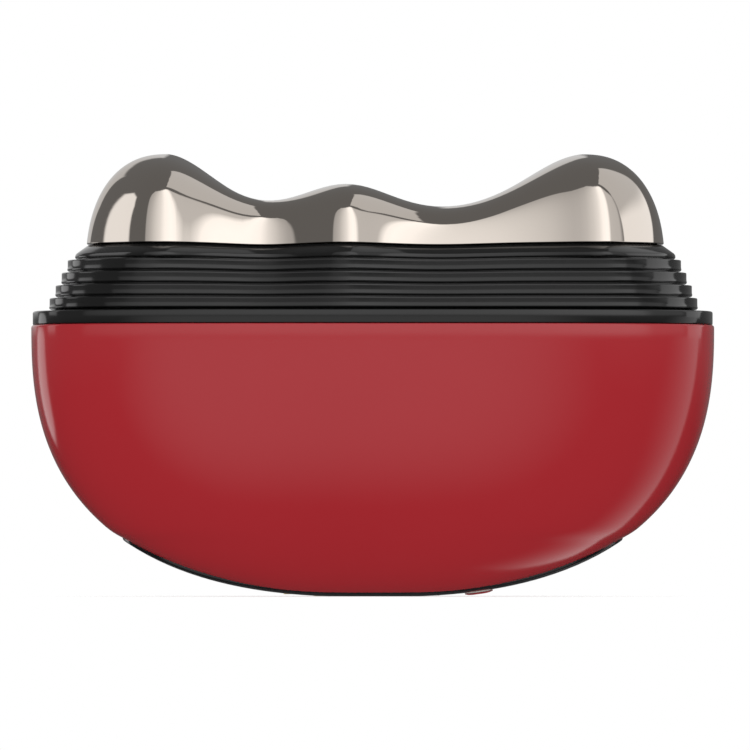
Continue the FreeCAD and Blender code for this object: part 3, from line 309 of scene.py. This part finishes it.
def new_material(name, base, roughness, metallic=0.0):
    """A material whose main shader is set and whose nodes are then added to."""
    material = bpy.data.materials.new(name)
    material.use_nodes = True
    nodes = material.node_tree.nodes
    shader = nodes["Principled BSDF"]
    shader.inputs["Base Color"].default_value = (*base, 1)
    shader.inputs["Roughness"].default_value = roughness
    shader.inputs["Metallic"].default_value = metallic
    return material, shader


def add_node(material, kind, **values):
    """A new node with the given input values."""
    node = material.node_tree.nodes.new(kind)
    for key, value in values.items():
        node.inputs[key].default_value = value
    return node


def noise(material, scale):
    """Noise over the object's own coordinates, scale in waves per metre."""
    place = add_node(material, "ShaderNodeTexCoord")
    pattern = add_node(material, "ShaderNodeTexNoise", Scale=scale, Detail=NOISE_DETAIL)
    material.node_tree.links.new(place.outputs["Object"], pattern.inputs["Vector"])
    return pattern.outputs["Fac"]


def uneven_gloss(material, shader, factor, roughness, stray):
    """Let the roughness follow a pattern between two shares of its value."""
    spread = add_node(material, "ShaderNodeMapRange")
    spread.inputs["To Min"].default_value = roughness * stray[0]
    spread.inputs["To Max"].default_value = roughness * stray[1]
    material.node_tree.links.new(factor, spread.inputs["Value"])
    material.node_tree.links.new(spread.outputs["Result"], shader.inputs["Roughness"])


def tint(material, shader, factor, dark, light):
    """Let the colour follow a pattern between two tones."""
    ramp = add_node(material, "ShaderNodeValToRGB")
    ramp.color_ramp.elements[0].color = (*dark, 1)
    ramp.color_ramp.elements[1].color = (*light, 1)
    material.node_tree.links.new(factor, ramp.inputs["Fac"])
    material.node_tree.links.new(ramp.outputs["Color"], shader.inputs["Base Color"])


def bumpy(material, shader, factor, height_mm):
    """Let the surface rise and fall with a pattern."""
    bump = add_node(material, "ShaderNodeBump", Strength=1.0, Distance=height_mm * MM)
    material.node_tree.links.new(factor, bump.inputs["Height"])
    material.node_tree.links.new(bump.outputs["Normal"], shader.inputs["Normal"])


def polished_metal(name, dark, light, roughness, metallic=1.0):
    """Bare or plated metal: a faint tone change and uneven gloss."""
    material, shader = new_material(name, light, roughness, metallic)
    tint(material, shader, noise(material, METAL_TONE), dark, light)
    uneven_gloss(material, shader, noise(material, METAL_GLOSS), roughness, METAL_STRAY)
    return material


def moulded(name, dark, light, roughness, grain, height_mm):
    """Moulded plastic or rubber: a faint tone change, uneven gloss and a fine surface grain."""
    material, shader = new_material(name, light, roughness)
    tint(material, shader, noise(material, MOULD_TONE), dark, light)
    uneven_gloss(material, shader, noise(material, grain / 2), roughness, MOULD_STRAY)
    bumpy(material, shader, noise(material, grain), height_mm)
    return material


# Each finish: dark tone, light tone, roughness, then its grain per metre and in height, or its metal share
red_plastic = moulded("red_plastic", (0.365, 0.018, 0.0245), (0.385, 0.0205, 0.0275), 0.13, 700, 0.0003)
black_plastic = moulded("black_plastic", (0.008, 0.008, 0.008), (0.011, 0.011, 0.011), 0.1, 1500, 0.0002)
black_rubber = moulded("black_rubber", (0.007, 0.007, 0.007), (0.010, 0.010, 0.010), 0.1, 3000, 0.0002)
black_gloss = moulded("black_gloss", (0.008, 0.008, 0.009), (0.011, 0.011, 0.012), 0.1, 700, 0.0003)
red_trim = moulded("red_trim", (0.34, 0.018, 0.023), (0.40, 0.024, 0.030), 0.22, 2500, 0.0006)
pale_cap = moulded("pale_cap", (0.62, 0.57, 0.53), (0.72, 0.68, 0.64), 0.35, 3500, 0.001)
clear_lens = moulded("clear_lens", (0.70, 0.70, 0.66), (0.80, 0.80, 0.76), 0.12, 2500, 0.0005)
nickel = polished_metal("nickel", (0.655, 0.59, 0.53), (0.685, 0.62, 0.56), 0.04)
gold = polished_metal("gold", (0.78, 0.55, 0.22), (0.86, 0.64, 0.29), 0.18, 0.6)
steel = polished_metal("steel", (0.42, 0.42, 0.43), (0.56, 0.56, 0.57), 0.28)
inner_plastic = moulded("inner_plastic", (0.030, 0.030, 0.032), (0.045, 0.045, 0.048), 0.5, 4000, 0.004)
board_mask = moulded("board_mask", (0.008, 0.060, 0.025), (0.014, 0.085, 0.036), 0.3, 6000, 0.003)
chip_black = moulded("chip_black", (0.012, 0.012, 0.012), (0.020, 0.020, 0.020), 0.5, 9000, 0.003)
socket_white = moulded("socket_white", (0.60, 0.57, 0.50), (0.70, 0.67, 0.60), 0.4, 5000, 0.002)
cell_foil = polished_metal("cell_foil", (0.45, 0.46, 0.48), (0.60, 0.61, 0.63), 0.35)
foam = moulded("foam", (0.010, 0.010, 0.010), (0.030, 0.030, 0.030), 0.9, 5000, 0.05)
film = moulded("film", (0.42, 0.14, 0.012), (0.55, 0.20, 0.020), 0.3, 3000, 0.002)
wire = moulded("wire", (0.30, 0.010, 0.010), (0.42, 0.020, 0.018), 0.4, 6000, 0.002)


# Head
def crest_z(x, inset):
    """Height of the ridge over the lobes."""
    return HEAD_BASE + SADDLE_RISE + sum(h * bell(x, m, w) for m, h, w in LOBES) - inset


def head_profile(angle, inset, steps):
    """Points from the head's lower edge up to its ridge, on one ray of its plan."""
    root = HEAD_BASE - HEAD_ROOT
    x, y = head_point(angle, inset)
    width_share = (x - HEAD_SHIFT) / (HEAD_WIDTH - inset)
    eased = RIDGE_EASE_SHARE * math.sin(math.pi / 2 * width_share) + (1 - RIDGE_EASE_SHARE) * width_share
    ridge_x = CREST_LENGTH * eased
    ridge_z = crest_z(ridge_x, inset)
    power = END_POWER + (FRONT_POWER - END_POWER) * math.sin(angle) ** 2
    base = rise_angle(HEAD_ROOT / (ridge_z - root), power)
    full_reach = rounded_point(base, 1, 1, power)[0]
    first = rise_angle((HEAD_ROOT - valley_dip(x)) / (ridge_z - root), power)
    profile = []
    for step in [0, EDGE_STEP, *range(1, steps + 1)]:
        turn = first + (math.pi / 2 - first) * step / steps
        share, rise = rounded_point(turn, 1 / full_reach, ridge_z - root, power)
        reach = (x - HEAD_SHIFT - ridge_x) * share
        profile.append((HEAD_SHIFT + ridge_x + reach, y * share, root + rise))
    return profile


def head_loops(inset, steps):
    """Loops round the head from its lower edge up to its ridge."""
    profiles = [head_profile(angle, inset, steps) for angle in turns()]
    return [list(loop) for loop in zip(*profiles)]


def make_head():
    """Thin polished shell with a rolled lower edge, the same front and back."""
    outer = head_loops(0.0, RISE)
    inner = head_loops(HEAD_WALL, RISE // 2)
    edge = []
    for inset in (HEAD_WALL - HEAD_EDGE, HEAD_EDGE):
        plan = [head_point(angle, inset) for angle in turns()]
        edge.append([(x, y, HEAD_BASE - valley_dip(x) - HEAD_EDGE) for x, y in plan])
    head = loft("polished_head", inner[::-1] + edge + outer, nickel)
    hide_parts("massage_head")
    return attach(head, "head")


# Collar
def collar_section():
    """Outline of the ribs from the foot up, as (half width of the plan, inset from it, height)."""
    section = [(LOW_RIB_WIDTH, GROOVE_DEPTH, COLLAR_LOW)]
    for rib in range(RIB_COUNT - 1):
        width = LOW_RIB_WIDTH - rib * RIB_STEP
        low = COLLAR_LOW + LOW_RIB_RISE + rib * RIB_PITCH
        high = low + RIB_THICKNESS
        outline = [(GROOVE_DEPTH, low)]
        outline += rounded_corner((0, low), (GROOVE_DEPTH, low), (0, high), RIB_LIP_EDGE)
        outline += [(inset, low + rise) for inset, rise in RIB_FACE]
        shoulder = RIB_FACE[-1][0]
        outline += rounded_corner((shoulder, high), (shoulder, low), (RIB_STEP, high), RIB_EDGE)
        section += [(width, inset, z) for inset, z in outline]
        section.append((width - RIB_STEP, GROOVE_DEPTH, high))
    return section + [(HEAD_WIDTH, -outset, z) for outset, z in TOP_RIB]


def waved(x, y, z):
    """A point of the collar, lowered in the head's valleys the more the nearer it is to the head."""
    fade = max(z - COLLAR_LOW, 0) / (HEAD_BASE - COLLAR_LOW)
    return x, y, z - valley_dip(x) * fade


def make_collar():
    """Rubber bellows: rounded ribs that step in towards the head, with a groove between each two."""
    loops = []
    for width, inset, z in collar_section():
        loops.append([waved(*collar_point(angle, width, inset), z) for angle in turns()])
    lip = ((LIP_INSET, COLLAR_HIGH - LIP_DROP), (LIP_STEP, COLLAR_HIGH), (LIP_END, COLLAR_HIGH))
    for inset, z in lip:
        loops.append([waved(*head_point(angle, inset), z) for angle in turns()])
    lining = ((HEAD_WIDTH, COLLAR_HIGH - COLLAR_WALL), (LOW_RIB_WIDTH - COLLAR_WALL, COLLAR_LOW))
    for width, z in lining:
        loops.append([waved(*collar_point(angle, width, COLLAR_WALL), z) for angle in turns()])
    collar = loft("ribbed_collar", loops, black_rubber, closed=True)
    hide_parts("bellows_collar")
    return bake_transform(collar)


# Base ring
def make_base_ring():
    """Black ring on the rim, with a tongue down inside the bowl's wall."""
    tongue_out = SHELL_WALL + TONGUE_GAP - (RIM_WIDTH - RING_WIDTH)
    tongue_in = tongue_out + TONGUE_WALL
    tongue_low = RIM_Z - TONGUE_DROP
    corners = (
        (0.0, RING_LOW, RING_EDGE / 2), (0.0, RING_HIGH, RING_EDGE),
        (RING_SPAN, RING_HIGH, RING_EDGE / 2), (RING_SPAN, RING_LOW, RING_EDGE / 2),
        (tongue_in, RING_LOW, 0), (tongue_in, tongue_low, 0),
        (tongue_out, tongue_low, 0), (tongue_out, RING_LOW, 0),
    )
    loops = [[(*ring_point(angle, u), z) for angle in turns()] for u, z in rounded_section(corners)]
    ring = loft("rim_ring", loops, black_plastic, closed=True)
    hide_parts("base_ring")
    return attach(ring, "housing")


# Bowl
def opening_share(angle):
    """The share of the bowl's plan at which its ray meets the slot of the bottom opening."""
    x, y = bowl_point(angle)
    sx, sy = slot_point(math.atan2(y, x), PANEL_LENGTH + PANEL_GAP, PANEL_WIDTH + PANEL_GAP)
    return math.hypot(sx, sy) / math.hypot(x, y)


def bowl_rows(inset, steps):
    """Loops down the bowl's wall from under its rim to the opening."""
    top = RIM_Z - RIM_EDGE
    stops = [*range(steps), steps - EDGE_STEP, steps]
    rows = [[] for _ in stops]
    depth = RIM_Z + REST_CUT - inset
    for angle in turns(FINE_ROUND):
        rim_x, rim_y = bowl_point(angle, inset)
        out_x, out_y = bowl_point(angle)
        scale = math.hypot(out_x, out_y) / math.hypot(rim_x, rim_y)
        last = math.acos(opening_share(angle) * scale)
        for stop, row in zip(stops, rows):
            share = math.cos(last * stop / steps)
            drop = depth * (1 - share ** BOWL_WIDTH_POWER) ** (1 / BOWL_DROP_POWER)
            x = rim_x * share
            back = PANEL_PROUD * ease(*PROUD_REACH, abs(x)) * (1 - ease(*PROUD_SHARES, share))
            row.append((x, rim_y * share, min(RIM_Z - drop + back, top)))
    return rows


def make_bowl():
    """Red shell: outer wall, softened rim, inner wall and the edge of the opening."""
    outer = bowl_rows(0.0, RISE)
    inner = bowl_rows(SHELL_WALL, RISE // 2)
    rim = []
    for inset, z in rounded_corner((0, RIM_Z), (0, RIM_Z - RIM_EDGE), (RIM_EDGE, RIM_Z), RIM_EDGE):
        rim.append([(*bowl_point(angle, inset), z) for angle in turns(FINE_ROUND)])
    back = [[(*bowl_point(angle, SHELL_WALL), RIM_Z) for angle in turns(FINE_ROUND)]]
    bowl = loft("red_bowl", outer[::-1] + rim + back + inner, red_plastic, closed=True)
    bowl.data.set_sharp_from_angle(angle=CREASE_ANGLE)
    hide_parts("outer_shell")
    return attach(bowl, "housing")


# Bottom panel
def panel_loop(inset, rise, share=1.0):
    """A loop of the panel's slot, drawn in to a share of its size, at a height over the bowl's face."""
    loop = []
    for angle in turns(FINE_ROUND):
        x, y = slot_point(angle, PANEL_LENGTH - inset, PANEL_WIDTH - inset)
        x, y = x * share, y * share
        loop.append((x, y, max(bowl_z(x, y), 0.0) + rise))
    return loop


def make_panel():
    """Glossy black panel with softened edges and real openings for the pieces in it."""
    shares = [1 - step / PANEL_ROWS for step in range(1, PANEL_ROWS)]
    edge = rounded_corner((0, 0), (0, 1), (1, 0), PANEL_EDGE)
    face = [panel_loop(inset, rise) for inset, rise in edge]
    face += [panel_loop(PANEL_EDGE, 0.0, share) for share in shares]
    back = [panel_loop(PANEL_EDGE, PANEL_WALL, share) for share in shares[::-1]]
    back.append(panel_loop(0.0, PANEL_WALL))
    middle = [(0.0, 0.0, 0.0)] * FINE_ROUND
    middle_back = [(0.0, 0.0, PANEL_WALL)] * FINE_ROUND
    panel = loft("gloss_panel", [middle_back] + back + face + [middle], black_gloss)
    cut_holes(panel)
    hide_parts("bottom_panel")
    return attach(panel, "housing")


def cut_holes(panel):
    """Openings for the button, the charge light and the pins, each a fit gap wider than its piece."""
    deep = ((0.0, -PANEL_WALL), (0.0, PANEL_WALL * 2))
    holes = [(BUTTON_X, BUTTON_WIDTH, BUTTON_LENGTH), (LENS_X, LENS_RADIUS, LENS_RADIUS)]
    holes += [(x, PIN_RADIUS, PIN_RADIUS) for x in PIN_XS]
    for x, half_x, half_y in holes:
        plug = slot_prism("hole", x, half_x + FIT_GAP, half_y + FIT_GAP, deep, black_gloss)
        mesh = bmesh.new()
        mesh.from_mesh(plug.data)
        bmesh.ops.holes_fill(mesh, edges=mesh.edges)
        bmesh.ops.recalc_face_normals(mesh, faces=mesh.faces)
        mesh.to_mesh(plug.data)
        mesh.free()
        trim = panel.modifiers.new("hole", "BOOLEAN")
        trim.object = plug
        trim.solver = "EXACT"
        graph = bpy.context.evaluated_depsgraph_get()
        cut = bpy.data.meshes.new_from_object(panel.evaluated_get(graph))
        panel.modifiers.clear()
        panel.data = cut
        bpy.data.objects.remove(plug)
    panel.data.set_sharp_from_angle(angle=CREASE_ANGLE)


def make_button():
    """Raised pale skirt with a red lip, fixed in the panel; the cap that travels in it keeps its solid."""
    plan = (BUTTON_X, BUTTON_WIDTH, BUTTON_LENGTH)
    bore = -BUTTON_WALL
    lip = LIP_HEIGHT - BUTTON_PROUD
    skirt = [(-SKIRT_SETBACK, PANEL_WALL), (-SKIRT_SETBACK, lip), (bore, lip), (bore, PANEL_WALL)]
    base = slot_prism("button_skirt", *plan, skirt, pale_cap, BUTTON_CROWN)
    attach(base, "housing")
    section = [(-SKIRT_SETBACK, lip)]
    section += rounded_corner((0, lip), (-SKIRT_SETBACK, lip), (0, -BUTTON_PROUD), LIP_ROUND)
    section += rounded_corner((0, -BUTTON_PROUD), (0, lip), (bore, -BUTTON_PROUD), LIP_ROUND)
    section += rounded_corner((bore, -BUTTON_PROUD), (0, -BUTTON_PROUD), (bore, lip), LIP_ROUND)
    section.append((bore, lip))
    ring = slot_prism("button_bezel", *plan, section, red_trim, BUTTON_CROWN)
    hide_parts("button_ring")
    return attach(ring, "housing")


# Lead up to the head
def lead_path():
    """Middle line of the lead: straight runs with rounded bends, its slack to one side."""
    last = len(SLACK_SHARES) - 1
    knots = []
    for step, share in enumerate(SLACK_SHARES):
        height = LEAD_LOW + (LEAD_HIGH - LEAD_LOW) * step / last
        knots.append((LEAD_X + LEAD_SLACK * share, LEAD_Y, height))
    path = [knots[0]]
    for before, corner, after in zip(knots, knots[1:], knots[2:]):
        reach = min(math.dist(before, corner), math.dist(corner, after))
        path += rounded_corner(corner, before, after, BEND_SHARE * reach, BEND_STEPS)
    return path + [knots[-1]]


def make_lead():
    """Round lead from low in the housing up to the head, its slack to one side."""
    path = [Vector(point) for point in lead_path()]
    side = Vector((0, 1, 0))
    loops = [[tuple(path[0])] * LEAD_ROUND]
    for index, point in enumerate(path):
        along = (path[min(index + 1, len(path) - 1)] - path[max(index - 1, 0)]).normalized()
        out = along.cross(side)
        loop = []
        for turn in turns(LEAD_ROUND):
            loop.append(tuple(point + (side * math.cos(turn) + out * math.sin(turn)) * LEAD_RADIUS))
        loops.append(loop)
    loops.append([tuple(path[-1])] * LEAD_ROUND)
    lead = loft("slack_lead", loops, wire)
    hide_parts("head_lead")
    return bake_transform(lead)


# Pieces that keep their solids and take only a finish
FINISHES = {
    inner_plastic: ("head_plate", "bellows_clamp", "chassis"),
    steel: (
        "head_screws", "bracket_screws", "shoulder_screws", "clamp_screws", "chassis_screws",
        "pcb_screws", "board_screws", "motor_can", "motor_shaft", "eccentric_weight", "motor_bracket",
    ),
    board_mask: ("main_pcb", "switch_board"),
    chip_black: ("controller_chip", "boost_inductor", "tact_switch"),
    socket_white: ("switch_plunger", "indicator_led", "lead_sockets"),
    cell_foil: ("battery",),
    foam: ("battery_pad", "panel_gasket"),
    film: ("heater_film", "thermistor"),
    wire: ("battery_lead", "board_lead"),
    gold: ("charging_contacts",),
    clear_lens: ("indicator_lens",),
    pale_cap: ("button_cap",),
}


def finish_solid_pieces():
    """Give each of these solids its material."""
    for material, names in FINISHES.items():
        for name in names:
            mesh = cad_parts[name].data
            mesh.materials.clear()
            mesh.materials.append(material)


make_head()
make_collar()
make_base_ring()
make_bowl()
make_panel()
make_button()
make_lead()
finish_solid_pieces()


# Studio: lights are (azimuth, elevation, spread, strength)
KEY_LIGHT = (-12, 12, 50, 0.55)
FILL_LIGHT = (30, 45, 60, 0.2)
WORLD_LEVEL = 0.8
FLOOR_SIZE = 60.0
FLOOR_TONE, FLOOR_LIFT, FLOOR_ROUGHNESS = 0.45, 0.64, 0.9
SHADOW_FULL, SHADOW_END = 16.0 * MM, 46.0 * MM


def direction(azimuth, elevation):
    """Unit direction from the object; azimuth 0 is the front, 90 the right."""
    a, e = math.radians(azimuth), math.radians(elevation)
    return Vector((math.sin(a) * math.cos(e), -math.cos(a) * math.cos(e), math.sin(e)))


def inside(corners, point, soft):
    """How far a direction lies inside a convex outline of the tent's map, softened at its edge."""
    nearest = math.inf
    for index, (x0, y0) in enumerate(corners):
        x1, y1 = corners[(index + 1) % len(corners)]
        across, along = x1 - x0, y1 - y0
        reach = (across * (point[1] - y0) - along * (point[0] - x0)) / math.hypot(across, along)
        nearest = min(nearest, reach)
    return ease(-soft, soft, nearest)


def blob(point, middle, half, power=2.0):
    """Distance from the middle of a rounded patch, 1 at its edge."""
    across = abs((point[0] - middle[0]) / half[0]) ** power
    along = abs((point[1] - middle[1]) / half[1]) ** power
    return (across + along) ** (1 / power)


# Tent of dark cloth and lit panels, by azimuth and elevation; a soft edge is given by its two ends
TENT_RADIUS, TENT_STEPS = 4.0, 180
SKY_DARK, GROUND_DARK, SKYLINE = 0.16, 0.03, (-12, 4)
# Front panel: level and top by azimuth, leaned in towards its top
FRONT_LEVELS = (
    (-66, 0.5), (-50, 0.64), (-30, 0.85), (0, 1.13), (22, 1.48), (42, 1.58), (51, 1.5), (60, 0.75),
    (90, 0.7), (100, 0.6),
)
FRONT_TOPS = (
    (-70, 45), (-64, 60), (-54, 71), (-36, 78), (-20, 81), (0, 83), (28, 82), (45, 79), (55, 74),
    (65, 64), (75, 54), (85, 45), (100, 38),
)
FRONT_LEAN, LEAN_HEIGHT = 0.35, 80
FRONT_LEFT, FRONT_RIGHT = (-72, -64), (92, 104)
FRONT_LOW, FRONT_TOP_SOFT = (3, 4.5), 2
# Glow below the front panel, and the glow round the right end with its dark middle
UNDER_MIDDLE, UNDER_HALF = (-7, -4), (41, 52)
UNDER_FADE, UNDER_HIGH, UNDER_LEVEL = (0.25, 1.05), (1.5, 3.5), 0.68
END_MIDDLE, END_HALF = (147, -13), (31, 21.5)
END_RISE, END_FADE, END_HIGH, END_LAST = (1.0, 1.06), (1.0, 2.9), 3, 165
# Panels at the right, at the left and behind, and a small one low at the left
RIGHT_OUTLINE = ((100, 1), (127, 1), (166, 47), (150, 65), (130, 74), (96, 79))
RIGHT_LEVEL, RIGHT_LIFT, RIGHT_LIFT_TOP = 0.67, 0.5, (16, 26)
LEFT_OUTLINE = ((-119, 3.5), (-104, 3.5), (-108, 26), (-113, 33), (-121, 33), (-126, 28))
LEFT_LEVEL, SIDE_SOFT = 1.14, 1.2
BACK_OUTLINE = ((-184, 2), (-150, 2), (-143, 14), (-148, 31), (-162, 29), (-174, 24), (-184, 17))
BACK_LEVEL, BACK_SOFT = 0.64, 1.5
SMALL_MIDDLE, SMALL_HALF, SMALL_POWER = (-137, -4), (11, 8.5), 3.0
SMALL_EDGE, SMALL_LEVEL = (0.9, 1.1), 1.2


def table(levels, value):
    """A level between the entries of a table."""
    for (x0, y0), (x1, y1) in zip(levels, levels[1:]):
        if value <= x1:
            t = min(max((value - x0) / (x1 - x0), 0.0), 1.0)
            return y0 * (1 - t) + y1 * t
    return levels[-1][1]


def tent_level(azimuth, elevation):
    """Brightness of the tent in one direction: dark cloth and the lit panels in it."""
    here = (azimuth, elevation)
    level = GROUND_DARK + (SKY_DARK - GROUND_DARK) * ease(*SKYLINE, elevation)
    leaned = azimuth * (1 - FRONT_LEAN * max(elevation / LEAN_HEIGHT, 0) ** 2)
    front = ease(*FRONT_LEFT, leaned) * (1 - ease(*FRONT_RIGHT, azimuth))
    front *= ease(-FRONT_TOP_SOFT, FRONT_TOP_SOFT, table(FRONT_TOPS, leaned) - elevation)
    front *= ease(*FRONT_LOW, elevation)
    level = max(level, table(FRONT_LEVELS, leaned) * front)
    below = (azimuth, min(elevation, UNDER_MIDDLE[1]))
    under = 1 - ease(*UNDER_FADE, blob(below, UNDER_MIDDLE, UNDER_HALF))
    level = max(level, UNDER_LEVEL * under * (1 - ease(*UNDER_HIGH, elevation)))
    end = blob(here, END_MIDDLE, END_HALF)
    if elevation < END_HIGH and azimuth < END_LAST:
        level = max(level, ease(*END_RISE, end) * (1 - ease(*END_FADE, end)))
    right_level = RIGHT_LEVEL + RIGHT_LIFT * (1 - ease(*RIGHT_LIFT_TOP, elevation))
    level = max(level, right_level * inside(RIGHT_OUTLINE, here, SIDE_SOFT))
    level = max(level, LEFT_LEVEL * inside(LEFT_OUTLINE, here, SIDE_SOFT))
    small = blob(here, SMALL_MIDDLE, SMALL_HALF, SMALL_POWER)
    level = max(level, SMALL_LEVEL * (1 - ease(*SMALL_EDGE, small)))
    return max(level, BACK_LEVEL * inside(BACK_OUTLINE, here, BACK_SOFT))


def make_tent():
    """A round studio tent that only glossy surfaces see."""
    points, faces, levels = [], [], []
    width = TENT_STEPS * 2
    for row in range(TENT_STEPS + 1):
        elevation = -90 + 180 * row / TENT_STEPS
        for column in range(width):
            azimuth = -180 + 360 * column / width
            points.append(direction(azimuth, elevation) * TENT_RADIUS)
            levels.append(tent_level(azimuth, elevation))
    for row in range(TENT_STEPS):
        for column in range(width):
            after = (column + 1) % width
            low, high = row * width, (row + 1) * width
            faces.append((low + column, low + after, high + after, high + column))
    mesh = bpy.data.meshes.new("tent")
    mesh.from_pydata(points, [], faces)
    mesh.attributes.new("glow", "FLOAT", "POINT").data.foreach_set("value", levels)
    mesh.materials.append(tent_material())
    tent = bpy.data.objects.new("tent", mesh)
    bpy.context.scene.collection.objects.link(tent)
    tent.visible_camera = False
    tent.visible_diffuse = False
    tent.visible_shadow = False


def tent_material():
    """Light of the strength that each point of the tent carries."""
    material = bpy.data.materials.new("tent")
    material.use_nodes = True
    tree = material.node_tree
    tree.nodes.clear()
    level = tree.nodes.new("ShaderNodeAttribute")
    level.attribute_name = "glow"
    light = tree.nodes.new("ShaderNodeEmission")
    output = tree.nodes.new("ShaderNodeOutputMaterial")
    tree.links.new(level.outputs["Fac"], light.inputs["Strength"])
    tree.links.new(light.outputs["Emission"], output.inputs["Surface"])
    return material


def seen_rays(tree):
    """1 for rays that show the background: from the camera, or by way of gloss or glass."""
    path = tree.nodes.new("ShaderNodeLightPath")
    seen = tree.nodes.new("ShaderNodeMath")
    shown = tree.nodes.new("ShaderNodeMath")
    seen.operation = shown.operation = "MAXIMUM"
    tree.links.new(path.outputs["Is Camera Ray"], seen.inputs[0])
    tree.links.new(path.outputs["Is Glossy Ray"], seen.inputs[1])
    tree.links.new(seen.outputs["Value"], shown.inputs[0])
    tree.links.new(path.outputs["Is Transmission Ray"], shown.inputs[1])
    return shown.outputs["Value"]


def make_world():
    """White behind the object, a plain even level on it."""
    world = bpy.context.scene.world or bpy.data.worlds.new("studio")
    bpy.context.scene.world = world
    world.use_nodes = True
    tree = world.node_tree
    level = tree.nodes.new("ShaderNodeMapRange")
    level.inputs["To Min"].default_value = WORLD_LEVEL
    level.inputs["To Max"].default_value = 1.0
    tree.links.new(seen_rays(tree), level.inputs["Value"])
    tree.links.new(level.outputs["Result"], tree.nodes["Background"].inputs["Strength"])
    tree.nodes["Background"].inputs["Color"].default_value = (1, 1, 1, 1)


def make_floor():
    """Pale matt floor, lifted to white, for the shadow; clear from below and away from the object."""
    material, shader = new_material("floor", (FLOOR_TONE,) * 3, FLOOR_ROUGHNESS)
    shader.inputs["Specular IOR Level"].default_value = 0.0
    shader.inputs["Emission Color"].default_value = (FLOOR_LIFT, FLOOR_LIFT, FLOOR_LIFT, 1)
    tree = material.node_tree
    tree.links.new(seen_rays(tree), shader.inputs["Emission Strength"])
    side = tree.nodes.new("ShaderNodeNewGeometry")
    clear = tree.nodes.new("ShaderNodeBsdfTransparent")
    place = tree.nodes.new("ShaderNodeTexCoord")
    reach = tree.nodes.new("ShaderNodeVectorMath")
    reach.operation = "LENGTH"
    fade = tree.nodes.new("ShaderNodeMapRange")
    fade.inputs["From Min"].default_value = SHADOW_FULL
    fade.inputs["From Max"].default_value = SHADOW_END
    unseen = tree.nodes.new("ShaderNodeMath")
    unseen.operation = "MAXIMUM"
    tree.links.new(place.outputs["Object"], reach.inputs[0])
    tree.links.new(reach.outputs["Value"], fade.inputs["Value"])
    tree.links.new(side.outputs["Backfacing"], unseen.inputs[0])
    tree.links.new(fade.outputs["Result"], unseen.inputs[1])
    shown = tree.nodes.new("ShaderNodeMixShader")
    tree.links.new(unseen.outputs["Value"], shown.inputs["Fac"])
    tree.links.new(shader.outputs["BSDF"], shown.inputs[1])
    tree.links.new(clear.outputs["BSDF"], shown.inputs[2])
    tree.links.new(shown.outputs["Shader"], tree.nodes["Material Output"].inputs["Surface"])
    corners = [(x * FLOOR_SIZE, y * FLOOR_SIZE, 0) for x, y in ((-1, -1), (1, -1), (1, 1), (-1, 1))]
    mesh = bpy.data.meshes.new("floor")
    mesh.from_pydata(corners, [], [(0, 1, 2, 3)])
    mesh.materials.append(material)
    floor = bpy.data.objects.new("floor", mesh)
    bpy.context.scene.collection.objects.link(floor)
    floor.visible_glossy = False
    floor.visible_diffuse = False
    floor.visible_shadow = False


def soft_light(name, azimuth, elevation, spread, strength):
    """A broad distant light; its disc stays out of the reflections."""
    data = bpy.data.lights.new(name, "SUN")
    data.energy = strength
    data.angle = math.radians(spread)
    light = bpy.data.objects.new(name, data)
    light.rotation_mode = "QUATERNION"
    light.rotation_quaternion = direction(azimuth, elevation).to_track_quat("Z", "Y")
    light.visible_glossy = False
    bpy.context.scene.collection.objects.link(light)


# Camera
VIEW_DISTANCE = 2.0
VIEW_HEIGHT = 5.0 * MM
AIM = Vector((0.3 * MM, 0.0, 29.2 * MM))
FRAME_WIDTH = 98.97 * MM
SENSOR_WIDTH = 36.0
VIEW_END = 200.0


def make_camera():
    """Level with the lower part of the bowl, aimed at the middle of the frame."""
    data = bpy.data.cameras.new("camera")
    obj = bpy.data.objects.new("camera", data)
    obj.location = (AIM.x, -VIEW_DISTANCE, VIEW_HEIGHT)
    sight = AIM - obj.location
    obj.rotation_mode = "QUATERNION"
    obj.rotation_quaternion = sight.to_track_quat("-Z", "Y")
    data.sensor_width = SENSOR_WIDTH
    data.lens = SENSOR_WIDTH * sight.length / FRAME_WIDTH
    data.clip_end = VIEW_END
    bpy.context.scene.collection.objects.link(obj)
    bpy.context.scene.camera = obj


make_world()
make_tent()
make_floor()
soft_light("key_light", *KEY_LIGHT)
soft_light("fill_light", *FILL_LIGHT)
make_camera()
bpy.context.scene.view_settings.view_transform = "Standard"
